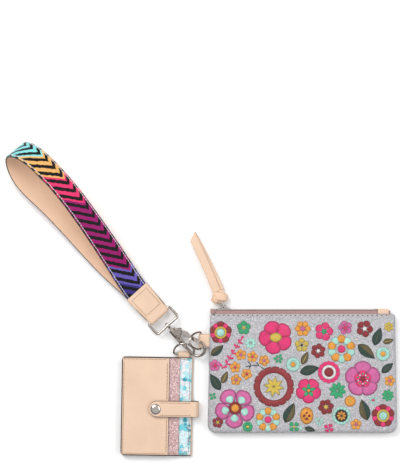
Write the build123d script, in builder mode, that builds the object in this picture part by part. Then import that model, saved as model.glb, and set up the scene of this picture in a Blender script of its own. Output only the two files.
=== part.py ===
from build123d import *
import os
from math import cos, sin, radians

# Wristlet wallet lying face up: a zip pouch, a card case, a swivel clip and a wrist strap.
# Millimetres. The origin is the centre of the pouch's back face, +X along the zip,
# +Y towards the zip and +Z up, out of the pouch's front.

os.makedirs("parts", exist_ok=True)

# ---------------------------------------------------------------- driving dimensions
pouch_bottom_width = 197.0
pouch_top_width = 192.0
pouch_bottom_y = -61.7
pouch_top_y = 62.2
pouch_thickness = 11.0
pouch_corner_radius = 9.0
pouch_edge_chamfer = 3.2
seam_allowance = 5.0
panel_skin = 1.4
lining_skin = 0.6

zip_half_length = 90.6
tooth_pitch = 2.3
tooth_length = 1.15
tooth_gap = 1.3
tooth_low_y = 64.4
tooth_high_y = 66.6
tape_skin = 0.6
tape_lip_y = 65.8
slider_x = -81.8
slider_length = 11.0
pull_lean = 23.5

ring_wire = 1.1
d_ring_half_width = 8.8
d_ring_depth = 16.5
d_ring_tilt = 45.0
d_ring_bar_x = -105.2
d_ring_centre_y = 34.4

card_centre_x = -151.0
card_centre_y = -33.8
card_turn = -1.0
card_width = 74.0
card_height = 102.4
card_slot = 0.8

clip_x = -141.6
clip_y = 52.3
clip_z = 7.6
clip_heading = -47.6
clip_roll = 21.5

band_width = 25.4
band_leather = 1.6
ribbon_skin = 0.5

mid_z = pouch_thickness / 2


def write_piece(builder, name):
    """Label a finished piece and write it as its own STEP file."""
    builder.part.label = name
    export_step(builder.part, f"parts/{name}.step")


# ---------------------------------------------------------------- pouch shells
def pouch_outline(inset, mouth=0.0):
    """The pouch seen from the front, drawn in by inset, and run out past the top by mouth."""
    low = pouch_bottom_y + inset
    high = pouch_top_y + mouth
    half_low = pouch_bottom_width / 2 - inset
    half_high = pouch_top_width / 2 - inset
    Polygon((-half_low, low), (half_low, low), (half_high, high), (-half_high, high), align=None)
    fillet(vertices().group_by(Axis.Y)[0], max(pouch_corner_radius - inset, 2.0))


with BuildPart() as side_tab:
    tab_width = 13.5
    tab_eye = 2.4
    tab_tail = 10.5
    with BuildSketch(Plane.XZ.offset(-d_ring_centre_y)):
        with Locations((d_ring_bar_x, mid_z)):
            Circle(tab_eye)
            Rectangle(tab_tail, tab_eye * 2, align=(Align.MIN, Align.CENTER))
            Circle(ring_wire + 0.08, mode=Mode.SUBTRACT)
    extrude(amount=tab_width / 2, both=True)
write_piece(side_tab, "pouch_side_tab")

with BuildPart() as front_panel:
    with BuildSketch(Plane.XY.offset(mid_z)):
        pouch_outline(0)
    extrude(amount=mid_z)
    chamfer(front_panel.faces().sort_by(Axis.Z)[-1].outer_wire().edges(), pouch_edge_chamfer)
    with BuildSketch(Plane.XY.offset(mid_z)):
        pouch_outline(seam_allowance, mouth=1)
    extrude(amount=mid_z - panel_skin, mode=Mode.SUBTRACT)
    add(side_tab.part, mode=Mode.SUBTRACT)
write_piece(front_panel, "pouch_front_panel")

with BuildPart() as back_panel:
    with BuildSketch(Plane.XY.offset(mid_z)):
        pouch_outline(0)
    extrude(amount=-mid_z)
    chamfer(back_panel.faces().sort_by(Axis.Z)[0].outer_wire().edges(), pouch_edge_chamfer)
    with BuildSketch(Plane.XY.offset(mid_z)):
        pouch_outline(seam_allowance, mouth=1)
    extrude(amount=panel_skin - mid_z, mode=Mode.SUBTRACT)
    add(side_tab.part, mode=Mode.SUBTRACT)
write_piece(back_panel, "pouch_back_panel")

lining_top_y = 55.2
lining_trim = pouch_top_y - lining_top_y
lining_fit = 0.05
for name, side in (("pouch_lining_front", 1), ("pouch_lining_back", -1)):
    with BuildPart() as lining:
        with BuildSketch(Plane.XY.offset(mid_z)):
            pouch_outline(seam_allowance + lining_fit, mouth=-lining_trim)
        extrude(amount=side * (mid_z - panel_skin))
        with BuildSketch(Plane.XY.offset(mid_z)):
            pouch_outline(seam_allowance + lining_fit + lining_skin, mouth=1 - lining_trim)
        extrude(amount=side * (mid_z - panel_skin - lining_skin), mode=Mode.SUBTRACT)
    write_piece(lining, name)

# ---------------------------------------------------------------- zip
tape_outer = mid_z - panel_skin
tape_inner = tape_outer - tape_skin
bead_outer = 2.0
bead_inner = 1.4

for name, side in (("zip_tape_front", 1), ("zip_tape_back", -1)):
    with BuildPart() as tape:
        with BuildSketch(Plane.YZ):
            with BuildLine():
                Polyline(
                    (lining_top_y, mid_z + side * tape_outer),
                    (tape_lip_y, mid_z + side * tape_outer),
                    (tape_lip_y, mid_z + side * bead_outer),
                    (tape_lip_y - tape_skin, mid_z + side * bead_outer),
                    (tape_lip_y - tape_skin, mid_z + side * tape_inner),
                    (lining_top_y, mid_z + side * tape_inner),
                    close=True,
                )
            make_face()
        extrude(amount=zip_half_length, both=True)
    write_piece(tape, name)

chain_left = -85.0
chain_right = 75.0
chain_middle = (chain_left + chain_right) / 2
tooth_count = int((chain_right - chain_left) / tooth_pitch)
tooth_middle_y = (tooth_low_y + tooth_high_y) / 2
for name, side, shift in (("zip_teeth_front", 1, 0.0), ("zip_teeth_back", -1, tooth_pitch / 2)):
    with BuildPart() as teeth:
        tooth_depth = bead_outer - tooth_gap / 2
        tooth_z = mid_z + side * (tooth_gap / 2 + tooth_depth / 2)
        with Locations((chain_middle + shift, tooth_middle_y, tooth_z)):
            with GridLocations(tooth_pitch, 1, tooth_count, 1):
                Box(tooth_length, tooth_high_y - tooth_low_y, tooth_depth)
        bead_depth = bead_outer - bead_inner
        with Locations((chain_middle, tooth_middle_y, mid_z + side * (bead_inner + bead_depth / 2))):
            Box(chain_right - chain_left, 1.0, bead_depth)
    write_piece(teeth, name)

with BuildPart() as slider:
    outer_plate_low = 67.0
    outer_plate_high = 68.2
    plate_half = 3.6
    inner_plate_low = 62.4
    inner_plate_high = 63.6
    inner_half = 2.9
    flange = 0.7
    with BuildSketch(Plane.YZ.offset(slider_x)):
        with Locations(((outer_plate_low + outer_plate_high) / 2, mid_z)):
            Rectangle(outer_plate_high - outer_plate_low, 2 * plate_half)
        with Locations(((inner_plate_low + inner_plate_high) / 2, mid_z)):
            Rectangle(inner_plate_high - inner_plate_low, 2 * inner_half)
        for side in (1, -1):
            with Locations((outer_plate_low - 0.4, mid_z + side * (plate_half - flange / 2))):
                Rectangle(0.8, flange)
            with Locations((inner_plate_high + 0.4, mid_z + side * (inner_half - flange / 2))):
                Rectangle(0.8, flange)
    extrude(amount=slider_length / 2, both=True)
    with Locations((slider_x - slider_length / 2 + 1.6, (inner_plate_high + outer_plate_low) / 2, mid_z)):
        Box(2.6, outer_plate_low - inner_plate_high, 0.7)
    arch_half = 3.2
    arch_high = 71.0
    with BuildSketch(Plane.XY.offset(mid_z - 0.9)):
        with Locations((slider_x, outer_plate_high)):
            Rectangle(2 * arch_half, arch_high - outer_plate_high, align=(Align.CENTER, Align.MIN))
            Rectangle(2 * arch_half - 2, arch_high - outer_plate_high - 0.9,
                      align=(Align.CENTER, Align.MIN), mode=Mode.SUBTRACT)
    extrude(amount=1.8)
write_piece(slider, "zip_slider")

for name, stop_x in (("zip_top_stop", chain_left - 4.0), ("zip_bottom_stop", chain_right + 1.2)):
    with BuildPart() as stop:
        with Locations((stop_x, tooth_middle_y + 0.1, mid_z)):
            Box(2.0, 2.6, 2 * bead_outer)
        fillet(stop.edges().filter_by(Axis.X), 0.6)
        for side in (1, -1):
            with Locations((stop_x, tooth_middle_y, mid_z + side * (bead_outer - 0.3))):
                Box(3.0, 1.0, 0.6, mode=Mode.SUBTRACT)
    write_piece(stop, name)

zip_end_z = pouch_thickness - 1.4
for name, end_x, end_width in (("zip_end_tab_right", 83.3, 11.0), ("zip_end_tab_left", -93.2, 4.6)):
    with BuildPart() as end_tab:
        with BuildSketch(Plane.YZ.offset(end_x)):
            with Locations((tape_lip_y + 0.3, mid_z)):
                Rectangle(1.2, 2 * (tape_outer + 1.2), align=(Align.MIN, Align.CENTER))
            for side in (1, -1):
                with Locations((pouch_top_y + 0.2, mid_z + side * (tape_outer + 0.6))):
                    Rectangle(tape_lip_y + 0.3 - pouch_top_y - 0.2, 1.2, align=(Align.MIN, Align.CENTER))
        extrude(amount=end_width / 2, both=True)
        fillet(end_tab.edges().filter_by(Axis.X).group_by(Axis.Y)[-1], 1.0)
    write_piece(end_tab, name)

# ---------------------------------------------------------------- leather zip pull
pivot_y = 69.15
pull_plane = Plane(
    origin=(slider_x, pivot_y, mid_z),
    x_dir=(cos(radians(pull_lean)), sin(radians(pull_lean)), 0),
    z_dir=(0, 0, 1),
)
pull_wire = 0.65
pull_ring_length = 8.0
pull_ring_half = 3.4

with BuildPart() as pull_ring:
    pull_side = Plane(origin=pull_plane.origin, x_dir=pull_plane.y_dir, z_dir=pull_plane.x_dir)
    with BuildLine(pull_side) as pull_path:
        FilletPolyline((0, -pull_ring_half), (pull_ring_length, -pull_ring_half),
                       (pull_ring_length, pull_ring_half), (0, pull_ring_half), close=True, radius=1.2)
    with BuildSketch(Plane(origin=pull_path.line @ 0, z_dir=pull_path.line % 0)):
        Circle(pull_wire)
    sweep()
write_piece(pull_ring, "pull_ring")

knot_start = 4.4
knot_length = 15.6
knot_width = 18.6
with BuildPart() as knot:
    with BuildSketch(pull_plane.offset(-4.4)):
        with Locations((0, knot_start + knot_length / 2)):
            Ellipse(knot_width / 2, knot_length / 2)
    extrude(amount=8.8)
    fillet(knot.edges(), 3.0)
    add(pull_ring.part, mode=Mode.SUBTRACT)
write_piece(knot, "pull_knot")

strip_width = 8.4
strip_skin = 1.4
strip_start = knot_start + knot_length - 0.6
for name, ply_z, ply_x, ply_end in (("pull_strip_front", 0.1, 0.0, 84.2), ("pull_strip_back", -1.5, 2.2, 83.8)):
    with BuildPart() as strip:
        with BuildSketch(pull_plane.offset(ply_z)):
            with BuildLine():
                Polyline(
                    (ply_x - strip_width / 2, strip_start),
                    (ply_x + strip_width / 2, strip_start),
                    (ply_x + strip_width / 2, ply_end),
                    (ply_x - strip_width / 2, ply_end - 8),
                    close=True,
                )
            make_face()
        extrude(amount=strip_skin)
        add(knot.part, mode=Mode.SUBTRACT)
    write_piece(strip, name)


# ---------------------------------------------------------------- D-rings
def d_ring_piece(plane, half_width, depth, wire):
    """A D-ring whose straight bar lies along the plane's X axis, its arc towards +Y."""
    shoulder = 3.0
    with BuildPart() as ring:
        with BuildLine(plane) as path:
            FilletPolyline((-half_width, shoulder), (-half_width, 0), (half_width, 0),
                           (half_width, shoulder), radius=1.8)
            EllipticalCenterArc((0, shoulder), half_width, depth - shoulder, 0, arc_size=180)
        with BuildSketch(Plane(origin=path.line @ 0, z_dir=path.line % 0)):
            Circle(wire)
        sweep()
    return ring


pouch_ring_plane = Plane(
    origin=(d_ring_bar_x, d_ring_centre_y, mid_z),
    x_dir=(0, 1, 0),
    z_dir=(sin(radians(d_ring_tilt)), 0, cos(radians(d_ring_tilt))),
)
pouch_ring = d_ring_piece(pouch_ring_plane, d_ring_half_width, d_ring_depth, ring_wire)
write_piece(pouch_ring, "pouch_d_ring")

# ---------------------------------------------------------------- card case
card_turn_cos = cos(radians(card_turn))
card_turn_sin = sin(radians(card_turn))
card_plane = Plane(
    origin=(card_centre_x, card_centre_y, 0),
    x_dir=(card_turn_cos, card_turn_sin, 0),
    z_dir=(0, 0, 1),
)
card_left = -card_width / 2
card_side = Plane(origin=card_plane.origin, x_dir=card_plane.x_dir, z_dir=-card_plane.y_dir)
card_floor = 1.3
back_leather = 1.4
pocket_skin = 0.6
front_leather = 1.2
card_seam = 3.5
card_corner = 3.0


def card_layer(z, right, skin, slot):
    """A card panel with a U-shaped seam of height slot under it, open at its right edge."""
    with BuildPart() as layer:
        width = right - card_left
        centre = (right + card_left) / 2
        with BuildSketch(card_plane.offset(z)):
            with Locations((centre, 0)):
                Rectangle(width, card_height)
            fillet(vertices().group_by(Axis.X)[0], card_corner)
        extrude(amount=skin + slot)
        if slot:
            with BuildSketch(card_plane.offset(z)):
                with Locations((card_left + card_seam, 0)):
                    Rectangle(card_width, card_height - 2 * card_seam, align=(Align.MIN, Align.CENTER))
            extrude(amount=slot, mode=Mode.SUBTRACT)
    return layer


card_d_ring_x = 27.1
card_ring_bar_y = 54.9
card_ring_z = 2.8
card_ring_tilt = 46.0
card_ring_half_width = 10.6
card_ring_depth = 16.0
card_ring_centre = card_plane.from_local_coords((card_d_ring_x, card_ring_bar_y, card_ring_z))
card_ring_plane = Plane(
    origin=card_ring_centre,
    x_dir=card_plane.x_dir,
    z_dir=Vector(0, 0, 1) * cos(radians(card_ring_tilt)) - card_plane.y_dir * sin(radians(card_ring_tilt)),
)
card_ring = d_ring_piece(card_ring_plane, card_ring_half_width, card_ring_depth, ring_wire)
write_piece(card_ring, "card_d_ring")

with BuildPart() as card_tab:
    card_tab_width = 12.0
    card_tab_tail = 9.0
    tab_end = Plane(origin=card_ring_centre, x_dir=-card_plane.y_dir, z_dir=-card_plane.x_dir)
    with BuildSketch(tab_end):
        Circle(2.3)
        with Locations((0, -0.4)):
            Rectangle(card_tab_tail, 1.4, align=(Align.MIN, Align.CENTER))
        Circle(ring_wire + 0.08, mode=Mode.SUBTRACT)
    extrude(amount=card_tab_width / 2, both=True)
write_piece(card_tab, "card_ring_tab")

layer_z = card_floor
card_back = card_layer(layer_z, card_width / 2, back_leather, 0)
card_back.part = card_back.part - card_tab.part
write_piece(card_back, "card_back_panel")
layer_z += back_leather
holographic = card_layer(layer_z, 35.6, pocket_skin, card_slot)
holographic.part = holographic.part - card_tab.part
write_piece(holographic, "card_pocket_holographic")
layer_z += pocket_skin + card_slot
glitter = card_layer(layer_z, 23.3, pocket_skin, card_slot)
write_piece(glitter, "card_pocket_glitter")
layer_z += pocket_skin + card_slot
front_pocket = card_layer(layer_z, 12.2, front_leather, card_slot)
front_top = layer_z + front_leather + card_slot

snap_x = -1.2
snap_y = -2.6
snap_plane = Plane(
    origin=card_plane.from_local_coords((snap_x, snap_y, front_top)),
    x_dir=card_plane.x_dir,
    z_dir=(0, 0, 1),
)
shank_radius = 1.5
with BuildPart() as snap_post:
    with BuildSketch(snap_plane.offset(-front_leather - 0.4)):
        Circle(4.0)
    extrude(amount=0.4)
    with BuildSketch(snap_plane.offset(-front_leather)):
        Circle(shank_radius)
    extrude(amount=front_leather)
write_piece(snap_post, "snap_post")
front_pocket.part = front_pocket.part - snap_post.part
write_piece(front_pocket, "card_pocket_front")

with BuildPart() as snap_stud:
    with BuildSketch(snap_plane):
        Circle(4.4)
    extrude(amount=0.5)
    with BuildSketch(snap_plane.offset(0.5)):
        Circle(1.9)
    extrude(amount=0.7)
    fillet(snap_stud.faces().sort_by(Axis.Z)[-1].edges(), 0.3)
write_piece(snap_stud, "snap_stud")

socket_low = 0.7
socket_height = 1.2
leaf_low = socket_low + socket_height
leaf_skin = 1.2
with BuildPart() as snap_socket:
    with BuildSketch(snap_plane.offset(socket_low)):
        Circle(4.4)
        Circle(2.15, mode=Mode.SUBTRACT)
    extrude(amount=socket_height)
write_piece(snap_socket, "snap_socket")

with BuildPart() as snap_cap:
    with BuildSketch(snap_plane.offset(leaf_low + leaf_skin)):
        Circle(5.4)
    extrude(amount=1.5)
    fillet(snap_cap.faces().sort_by(Axis.Z)[-1].edges(), 1.2)
    with BuildSketch(snap_plane.offset(leaf_low)):
        Circle(shank_radius)
    extrude(amount=leaf_skin)
write_piece(snap_cap, "snap_cap")

strap_leaf_width = 16.6
strap_leaf_y = -2.3
leaf_z = front_top + leaf_low
wrap_outer_radius = (leaf_z + leaf_skin) / 2
wrap_inner_radius = wrap_outer_radius - leaf_skin
wrap_x = 38.4
wrap_z = wrap_outer_radius
leaf_end = -7.6
leaf_plane = card_side.offset(-strap_leaf_y)
fold_setback = 0.95
leaf_tip_radius = 7.5
fold_x = wrap_x - fold_setback
leaf_mid_z = leaf_z + leaf_skin / 2
with BuildPart() as snap_strap:
    with BuildSketch(leaf_plane):
        with BuildLine():
            Polyline(
                (fold_x, leaf_z),
                (leaf_end, leaf_z),
                (leaf_end, leaf_z + leaf_skin),
                (fold_x, leaf_z + leaf_skin),
            )
            CenterArc((fold_x, leaf_mid_z), leaf_skin / 2, -90, 180)
        make_face()
    extrude(amount=strap_leaf_width / 2, both=True)
    leaf_tip = snap_strap.edges().filter_by(Axis.Z).group_by(card_plane.location.x_axis)[0]
    fillet(leaf_tip, leaf_tip_radius)
    add(snap_cap.part, mode=Mode.SUBTRACT)
write_piece(snap_strap, "card_snap_strap")

anchor_length = 34.0
with BuildPart() as strap_anchor:
    with BuildSketch(leaf_plane):
        with BuildLine():
            Polyline(
                (wrap_x, leaf_skin),
                (wrap_x - anchor_length, leaf_skin),
                (wrap_x - anchor_length, 0),
                (wrap_x, 0),
            )
            CenterArc((wrap_x, wrap_z), wrap_outer_radius, -90, 180)
            CenterArc((wrap_x, wrap_z), wrap_inner_radius, -90, 180)
            Line((wrap_x, leaf_z), (wrap_x, leaf_z + leaf_skin))
        make_face()
    extrude(amount=strap_leaf_width / 2, both=True)
write_piece(strap_anchor, "card_strap_anchor")

# ---------------------------------------------------------------- swivel clip
# The clip's own plane holds its swivel axis, X, and leans up out of the table by clip_roll.
clip_along = Vector(cos(radians(clip_heading)), sin(radians(clip_heading)), 0)
clip_across = Vector(-clip_along.Y, clip_along.X, 0)
clip_normal = Vector(0, 0, 1) * cos(radians(clip_roll)) - clip_across * sin(radians(clip_roll))
clip_plane = Plane(origin=(clip_x, clip_y, clip_z), x_dir=clip_along, z_dir=clip_normal)
swivel_line = Plane(origin=clip_plane.origin, x_dir=clip_plane.y_dir, z_dir=clip_along)

spine_y = -1.2
hook_wire = 1.4
hook_radius = 8.2
hook_x = 41.0
hook_y = spine_y + hook_radius
barrel_start = 8.6
barrel_end = 17.0
barrel_radius = 4.0
stem_radius = 1.5
head_radius = 2.6
pin_x = 15.0
pin_y = 6.2
pin_radius = 0.9
gate_tip_angle = 118

with BuildPart() as clip_body:
    with BuildSketch(swivel_line.offset(barrel_start)):
        Circle(barrel_radius)
    extrude(amount=barrel_end - barrel_start)
    fillet(clip_body.edges().filter_by(GeomType.CIRCLE), 0.9)
    for side in (1, -1):
        with BuildSketch(clip_plane.offset(side * 1.5)):
            with BuildLine():
                Polyline((11.0, 1.0), (11.0, 4.6), (pin_x - 1.2, pin_y + 2.2), (pin_x + 2.4, pin_y + 1.6),
                         (pin_x + 6.0, 0.6), (pin_x + 3.0, -1.0), close=True)
            make_face()
        extrude(amount=side * 1.3)
    with BuildSketch(clip_plane.offset(-2.0)):
        with BuildLine():
            Polyline((barrel_end - 1.5, spine_y - 2.4), (29.0, spine_y - 1.6), (33.0, spine_y - 1.2),
                     (33.0, spine_y + 1.2), (29.0, spine_y + 1.6), (barrel_end - 1.5, spine_y + 3.0), close=True)
        make_face()
    extrude(amount=4.0)
    with BuildLine(clip_plane) as hook_path:
        Line((31.0, spine_y), (hook_x, spine_y))
        CenterArc((hook_x, hook_y), hook_radius, -90, 90 + gate_tip_angle)
    with BuildSketch(Plane(origin=hook_path.line @ 0, z_dir=hook_path.line % 0)):
        Circle(hook_wire)
    sweep()
    with BuildSketch(swivel_line.offset(barrel_start - 1)):
        Circle(stem_radius + 0.1)
    extrude(amount=4.0, mode=Mode.SUBTRACT)
    with BuildSketch(swivel_line.offset(barrel_start + 2.4)):
        Circle(head_radius + 0.15)
    extrude(amount=2.8, mode=Mode.SUBTRACT)
    with BuildSketch(clip_plane.offset(-4)):
        with Locations((pin_x, pin_y)):
            Circle(pin_radius)
    extrude(amount=8, mode=Mode.SUBTRACT)
write_piece(clip_body, "clip_body")

with BuildPart() as gate_pin:
    with BuildSketch(clip_plane.offset(-2.8)):
        with Locations((pin_x, pin_y)):
            Circle(pin_radius)
    extrude(amount=5.6)
write_piece(gate_pin, "clip_gate_pin")

tip_x = hook_x + hook_radius * cos(radians(gate_tip_angle))
tip_y = hook_y + hook_radius * sin(radians(gate_tip_angle))
with BuildPart() as gate:
    gate_half = 1.2
    with BuildSketch(clip_plane.offset(-gate_half)):
        with BuildLine():
            Polyline((pin_x - 1.6, pin_y - 1.2), (pin_x + 3.2, pin_y - 1.6), (tip_x - 1.6, tip_y - 3.2),
                     (tip_x - 1.7, tip_y + 0.6), (pin_x + 10.0, pin_y + 5.2), (pin_x + 6.0, pin_y + 5.4),
                     (pin_x - 0.4, pin_y + 1.9), close=True)
        make_face()
        fillet(vertices(), 0.5)
        with Locations((pin_x, pin_y)):
            Circle(pin_radius + 0.08, mode=Mode.SUBTRACT)
    extrude(amount=2 * gate_half)
write_piece(gate, "clip_gate")

with BuildPart() as gate_spring:
    spring_foot = clip_plane.from_local_coords(Vector(pin_x + 4.6, 2.0, 0))
    spring_wire = 0.25
    with BuildLine() as spring_path:
        Helix(pitch=0.62, height=1.6, radius=0.7, center=spring_foot, direction=clip_plane.y_dir)
    with BuildSketch(Plane(origin=spring_path.line @ 0, z_dir=spring_path.line % 0)):
        Circle(spring_wire)
    sweep(is_frenet=True)
write_piece(gate_spring, "clip_gate_spring")

# ---------------------------------------------------------------- swivel eye and rectangular ring
loop_wire = 1.45
loop_bar_x = 3.0
loop_length = 14.1
loop_half_width = 14.3
eye_bore = loop_wire + 0.1
eye_outer = eye_bore + 1.7
flat_plane = Plane(origin=clip_plane.origin, x_dir=clip_along, z_dir=(0, 0, 1))
upright_plane = Plane(origin=clip_plane.origin, x_dir=clip_along, z_dir=-clip_across)

with BuildPart() as eye:
    with BuildSketch(upright_plane):
        with Locations((loop_bar_x, 0)):
            Circle(eye_outer)
            Circle(eye_bore, mode=Mode.SUBTRACT)
    extrude(amount=1.5, both=True)
    fillet(eye.edges().filter_by(GeomType.CIRCLE).group_by(SortBy.RADIUS)[-1], 0.6)
    with BuildSketch(swivel_line.offset(loop_bar_x + eye_bore + 0.6)):
        Circle(stem_radius)
    extrude(amount=barrel_start + 3.0 - loop_bar_x - eye_bore - 0.6)
    with BuildSketch(swivel_line.offset(barrel_start + 2.7)):
        Circle(head_radius)
    extrude(amount=2.0)
write_piece(eye, "swivel_eye")

with BuildPart() as loop:
    with BuildLine(flat_plane) as loop_path:
        FilletPolyline((loop_bar_x, -loop_half_width), (loop_bar_x, loop_half_width),
                       (loop_bar_x - loop_length, loop_half_width),
                       (loop_bar_x - loop_length, -loop_half_width), close=True, radius=2.3)
    with BuildSketch(Plane(origin=loop_path.line @ 0, z_dir=loop_path.line % 0)):
        Circle(loop_wire)
    sweep()
write_piece(loop, "rectangular_ring")

# ---------------------------------------------------------------- wrist strap
# The strap lies flat where it leaves the ring, then opens into a loop that rolls on to its
# right edge towards the far bend. Its route is the middle of the leather, from under the end
# tab along the upper run, round the far bend and back along the lower run.
upper_run = (
    (-152.4, 64.1, 8.45), (-171.3, 84.8, 8.6), (-190.0, 113.0, 17.5), (-220.0, 158.5, 31.0),
    (-253.5, 202.0, 42.0),
)
far_bend = ((-285.5, 229.5, 38.5), (-296.5, 229.5, 22.0), (-292.0, 209.5, 10.0))
lower_run = (
    (-268.5, 183.0, 7.6), (-233.5, 147.0, 5.6), (-195.5, 107.0, 4.4), (-171.3, 84.8, 6.6),
    (-152.4, 64.1, 6.75),
)
upper_roll = (0, 0, 12, 24, 30)
bend_roll = (27, 25, 22)
lower_roll = (18, 12, 6, 0, 0)
section_count = 60

band_route = Spline(*upper_run, *far_bend, *lower_run)
route_stations = upper_run + far_bend + lower_run
route_rolls = upper_roll + bend_roll + lower_roll
station_places = [band_route.param_at_point(Vector(*station)) for station in route_stations]


def band_roll(place):
    """The band's roll in degrees at a place from 0 to 1 along its route."""
    for first, last, roll_a, roll_b in zip(station_places, station_places[1:], route_rolls, route_rolls[1:]):
        if place <= last:
            part = (place - first) / (last - first)
            return roll_a + (roll_b - roll_a) * part
    return route_rolls[-1]


strap_heading = Vector(-clip_along.X, -clip_along.Y, 0)
right_hand = Vector(strap_heading.Y, -strap_heading.X, 0)


def band_plane(place, lift):
    """The plane across the band at a place along its route, lifted outwards off its middle."""
    along = band_route.tangent_at(place)
    roll = radians(band_roll(place))
    edge = right_hand * cos(roll) - Vector(0, 0, 1) * sin(roll)
    edge = (edge - along * edge.dot(along)).normalized()
    outward = edge.cross(along)
    return Plane(origin=band_route.position_at(place) + outward * lift, x_dir=edge, z_dir=along)


with BuildPart() as band:
    for step in range(section_count + 1):
        with BuildSketch(band_plane(step / section_count, 0)):
            Rectangle(band_width, band_leather)
    loft()
write_piece(band, "strap_band")

ribbon_inset = 1.5
ribbon_start = 4
ribbon_lift = (band_leather + ribbon_skin) / 2 + 0.05
with BuildPart() as ribbon:
    for step in range(ribbon_start, section_count - ribbon_start + 1):
        with BuildSketch(band_plane(step / section_count, ribbon_lift)):
            Rectangle(band_width - 2 * ribbon_inset, ribbon_skin)
    loft()
write_piece(ribbon, "strap_ribbon")

tab_leather = 1.6
tab_bar_x = loop_bar_x - loop_length
tab_far_x = -45.0
tab_near_width = 23.8
tab_far_width = 27.6
tab_corner_radius = 1.5
leaf_inner = band_leather + 0.06
with BuildPart() as end_tab:
    with BuildSketch(upright_plane):
        with Locations((tab_bar_x, 0)):
            Circle(leaf_inner + tab_leather)
            Circle(leaf_inner, mode=Mode.SUBTRACT)
            Rectangle(8, 8, align=(Align.MAX, Align.CENTER), mode=Mode.SUBTRACT)
    extrude(amount=tab_near_width / 2, both=True)
    for leaf_low_z in (leaf_inner, -leaf_inner - tab_leather):
        with BuildSketch(flat_plane.offset(leaf_low_z)):
            Polygon(
                (tab_bar_x, -tab_near_width / 2),
                (tab_bar_x, tab_near_width / 2),
                (tab_far_x, tab_far_width / 2),
                (tab_far_x, -tab_far_width / 2),
                align=None,
            )
            fillet(vertices().group_by(Axis.X)[0], tab_corner_radius)
        extrude(amount=tab_leather)
    add(band.part, mode=Mode.SUBTRACT)
write_piece(end_tab, "strap_end_tab")

# ---------------------------------------------------------------- raised embroidery
# Each flower is a centre and a diameter, each leaf a centre, a length and a heading in degrees.
flowers = (
    (-85, 43, 23), (-61, 48, 15), (-28, 38, 36), (0, 47, 17), (-1, 30, 15), (22, 44, 20), (44, 48, 15),
    (64, 47, 18), (89, 49, 10), (83, 21, 15), (16, 24, 16), (40, 26, 29), (-54, 32, 12), (-91, 9, 13),
    (-64, 20, 12), (-52, 18, 12), (-40, 14, 12), (-70, 7, 12), (-58, 0, 12), (-69, -6, 12), (-25, 16, 10),
    (-10, 10, 15), (27, 2, 23), (62, -5, 38), (-30, -13, 42), (6, -17, 27), (36, -17, 18), (90, -7, 12),
    (88, -22, 13), (73, -27, 11), (49, -28, 12), (-93, -23, 8), (-70, -35, 43), (4, -43, 15), (24, -34, 17),
    (40, -43, 19), (17, -49, 10), (27, -56, 11), (55, -52, 12), (83, -43, 24), (-36, -48, 25),
    (-57, -55, 11), (-9, -55, 12), (-88, -50, 12),
)
leaves = (
    (77, 38, 20, 70), (88, 34, 12, 15), (65, 24, 23, -40), (-89, 24, 17, 55), (-73, 21, 34, 57),
    (2, 16, 15, 65), (6, 4, 21, 15), (87, 6, 16, 40), (-90, -9, 20, 130), (-81, -4, 14, 50),
    (-14, -41, 23, 65), (7, -57, 12, -15), (64, -38, 23, 105),
)
thread_height = 1.0
leaf_slimness = 0.5
seam_margin = 0.3

with BuildPart() as flower_work:
    with BuildSketch(Plane.XY.offset(pouch_thickness)):
        for flower_x, flower_y, diameter in flowers:
            with Locations((flower_x, flower_y)):
                Circle(diameter / 2)
    extrude(amount=thread_height)
    with BuildSketch(Plane.XY.offset(pouch_thickness)):
        pouch_outline(pouch_edge_chamfer + seam_margin)
    extrude(amount=thread_height, mode=Mode.INTERSECT)
write_piece(flower_work, "embroidered_flowers")

with BuildPart() as leaf_work:
    with BuildSketch(Plane.XY.offset(pouch_thickness)):
        for leaf_x, leaf_y, length, heading in leaves:
            with Locations(Location((leaf_x, leaf_y, 0), (0, 0, heading))):
                Ellipse(length / 2, length * leaf_slimness / 2)
    extrude(amount=thread_height)
    with BuildSketch(Plane.XY.offset(pouch_thickness)):
        pouch_outline(pouch_edge_chamfer + seam_margin)
    extrude(amount=thread_height, mode=Mode.INTERSECT)
    add(flower_work.part, mode=Mode.SUBTRACT)
write_piece(leaf_work, "embroidered_leaves")
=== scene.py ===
import math

import bmesh
import bpy
import numpy as np
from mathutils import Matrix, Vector, geometry, noise


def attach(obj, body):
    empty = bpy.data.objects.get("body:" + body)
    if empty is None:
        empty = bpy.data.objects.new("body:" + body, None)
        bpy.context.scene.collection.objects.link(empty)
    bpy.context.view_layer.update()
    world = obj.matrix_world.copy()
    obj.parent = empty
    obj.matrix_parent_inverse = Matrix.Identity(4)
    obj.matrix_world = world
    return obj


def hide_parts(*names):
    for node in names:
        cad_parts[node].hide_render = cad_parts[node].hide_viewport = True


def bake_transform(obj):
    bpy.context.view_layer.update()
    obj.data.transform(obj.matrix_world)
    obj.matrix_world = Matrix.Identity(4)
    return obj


# A wristlet wallet lying face up. Lengths here are millimetres until a mesh is made, in the CAD
# model's frame: the origin is the middle of the pouch's back, +X along the zip, +Y to the zip.

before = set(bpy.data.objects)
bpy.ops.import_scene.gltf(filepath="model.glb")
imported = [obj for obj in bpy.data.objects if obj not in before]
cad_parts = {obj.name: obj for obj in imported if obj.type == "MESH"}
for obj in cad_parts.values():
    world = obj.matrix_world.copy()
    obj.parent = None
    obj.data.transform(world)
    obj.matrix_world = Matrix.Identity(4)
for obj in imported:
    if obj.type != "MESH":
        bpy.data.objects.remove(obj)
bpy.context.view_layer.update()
MM = 0.001
UP = (0, 0, 1)

# ---------------------------------------------------------------- colours


def srgb(red, green, blue):
    """An sRGB colour of 0 to 255 as the linear colour that a shader takes."""
    out = []
    for value in (red, green, blue):
        v = value / 255
        out.append(v / 12.92 if v <= 0.04045 else ((v + 0.055) / 1.055) ** 2.4)
    return (*out, 1.0)


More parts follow.
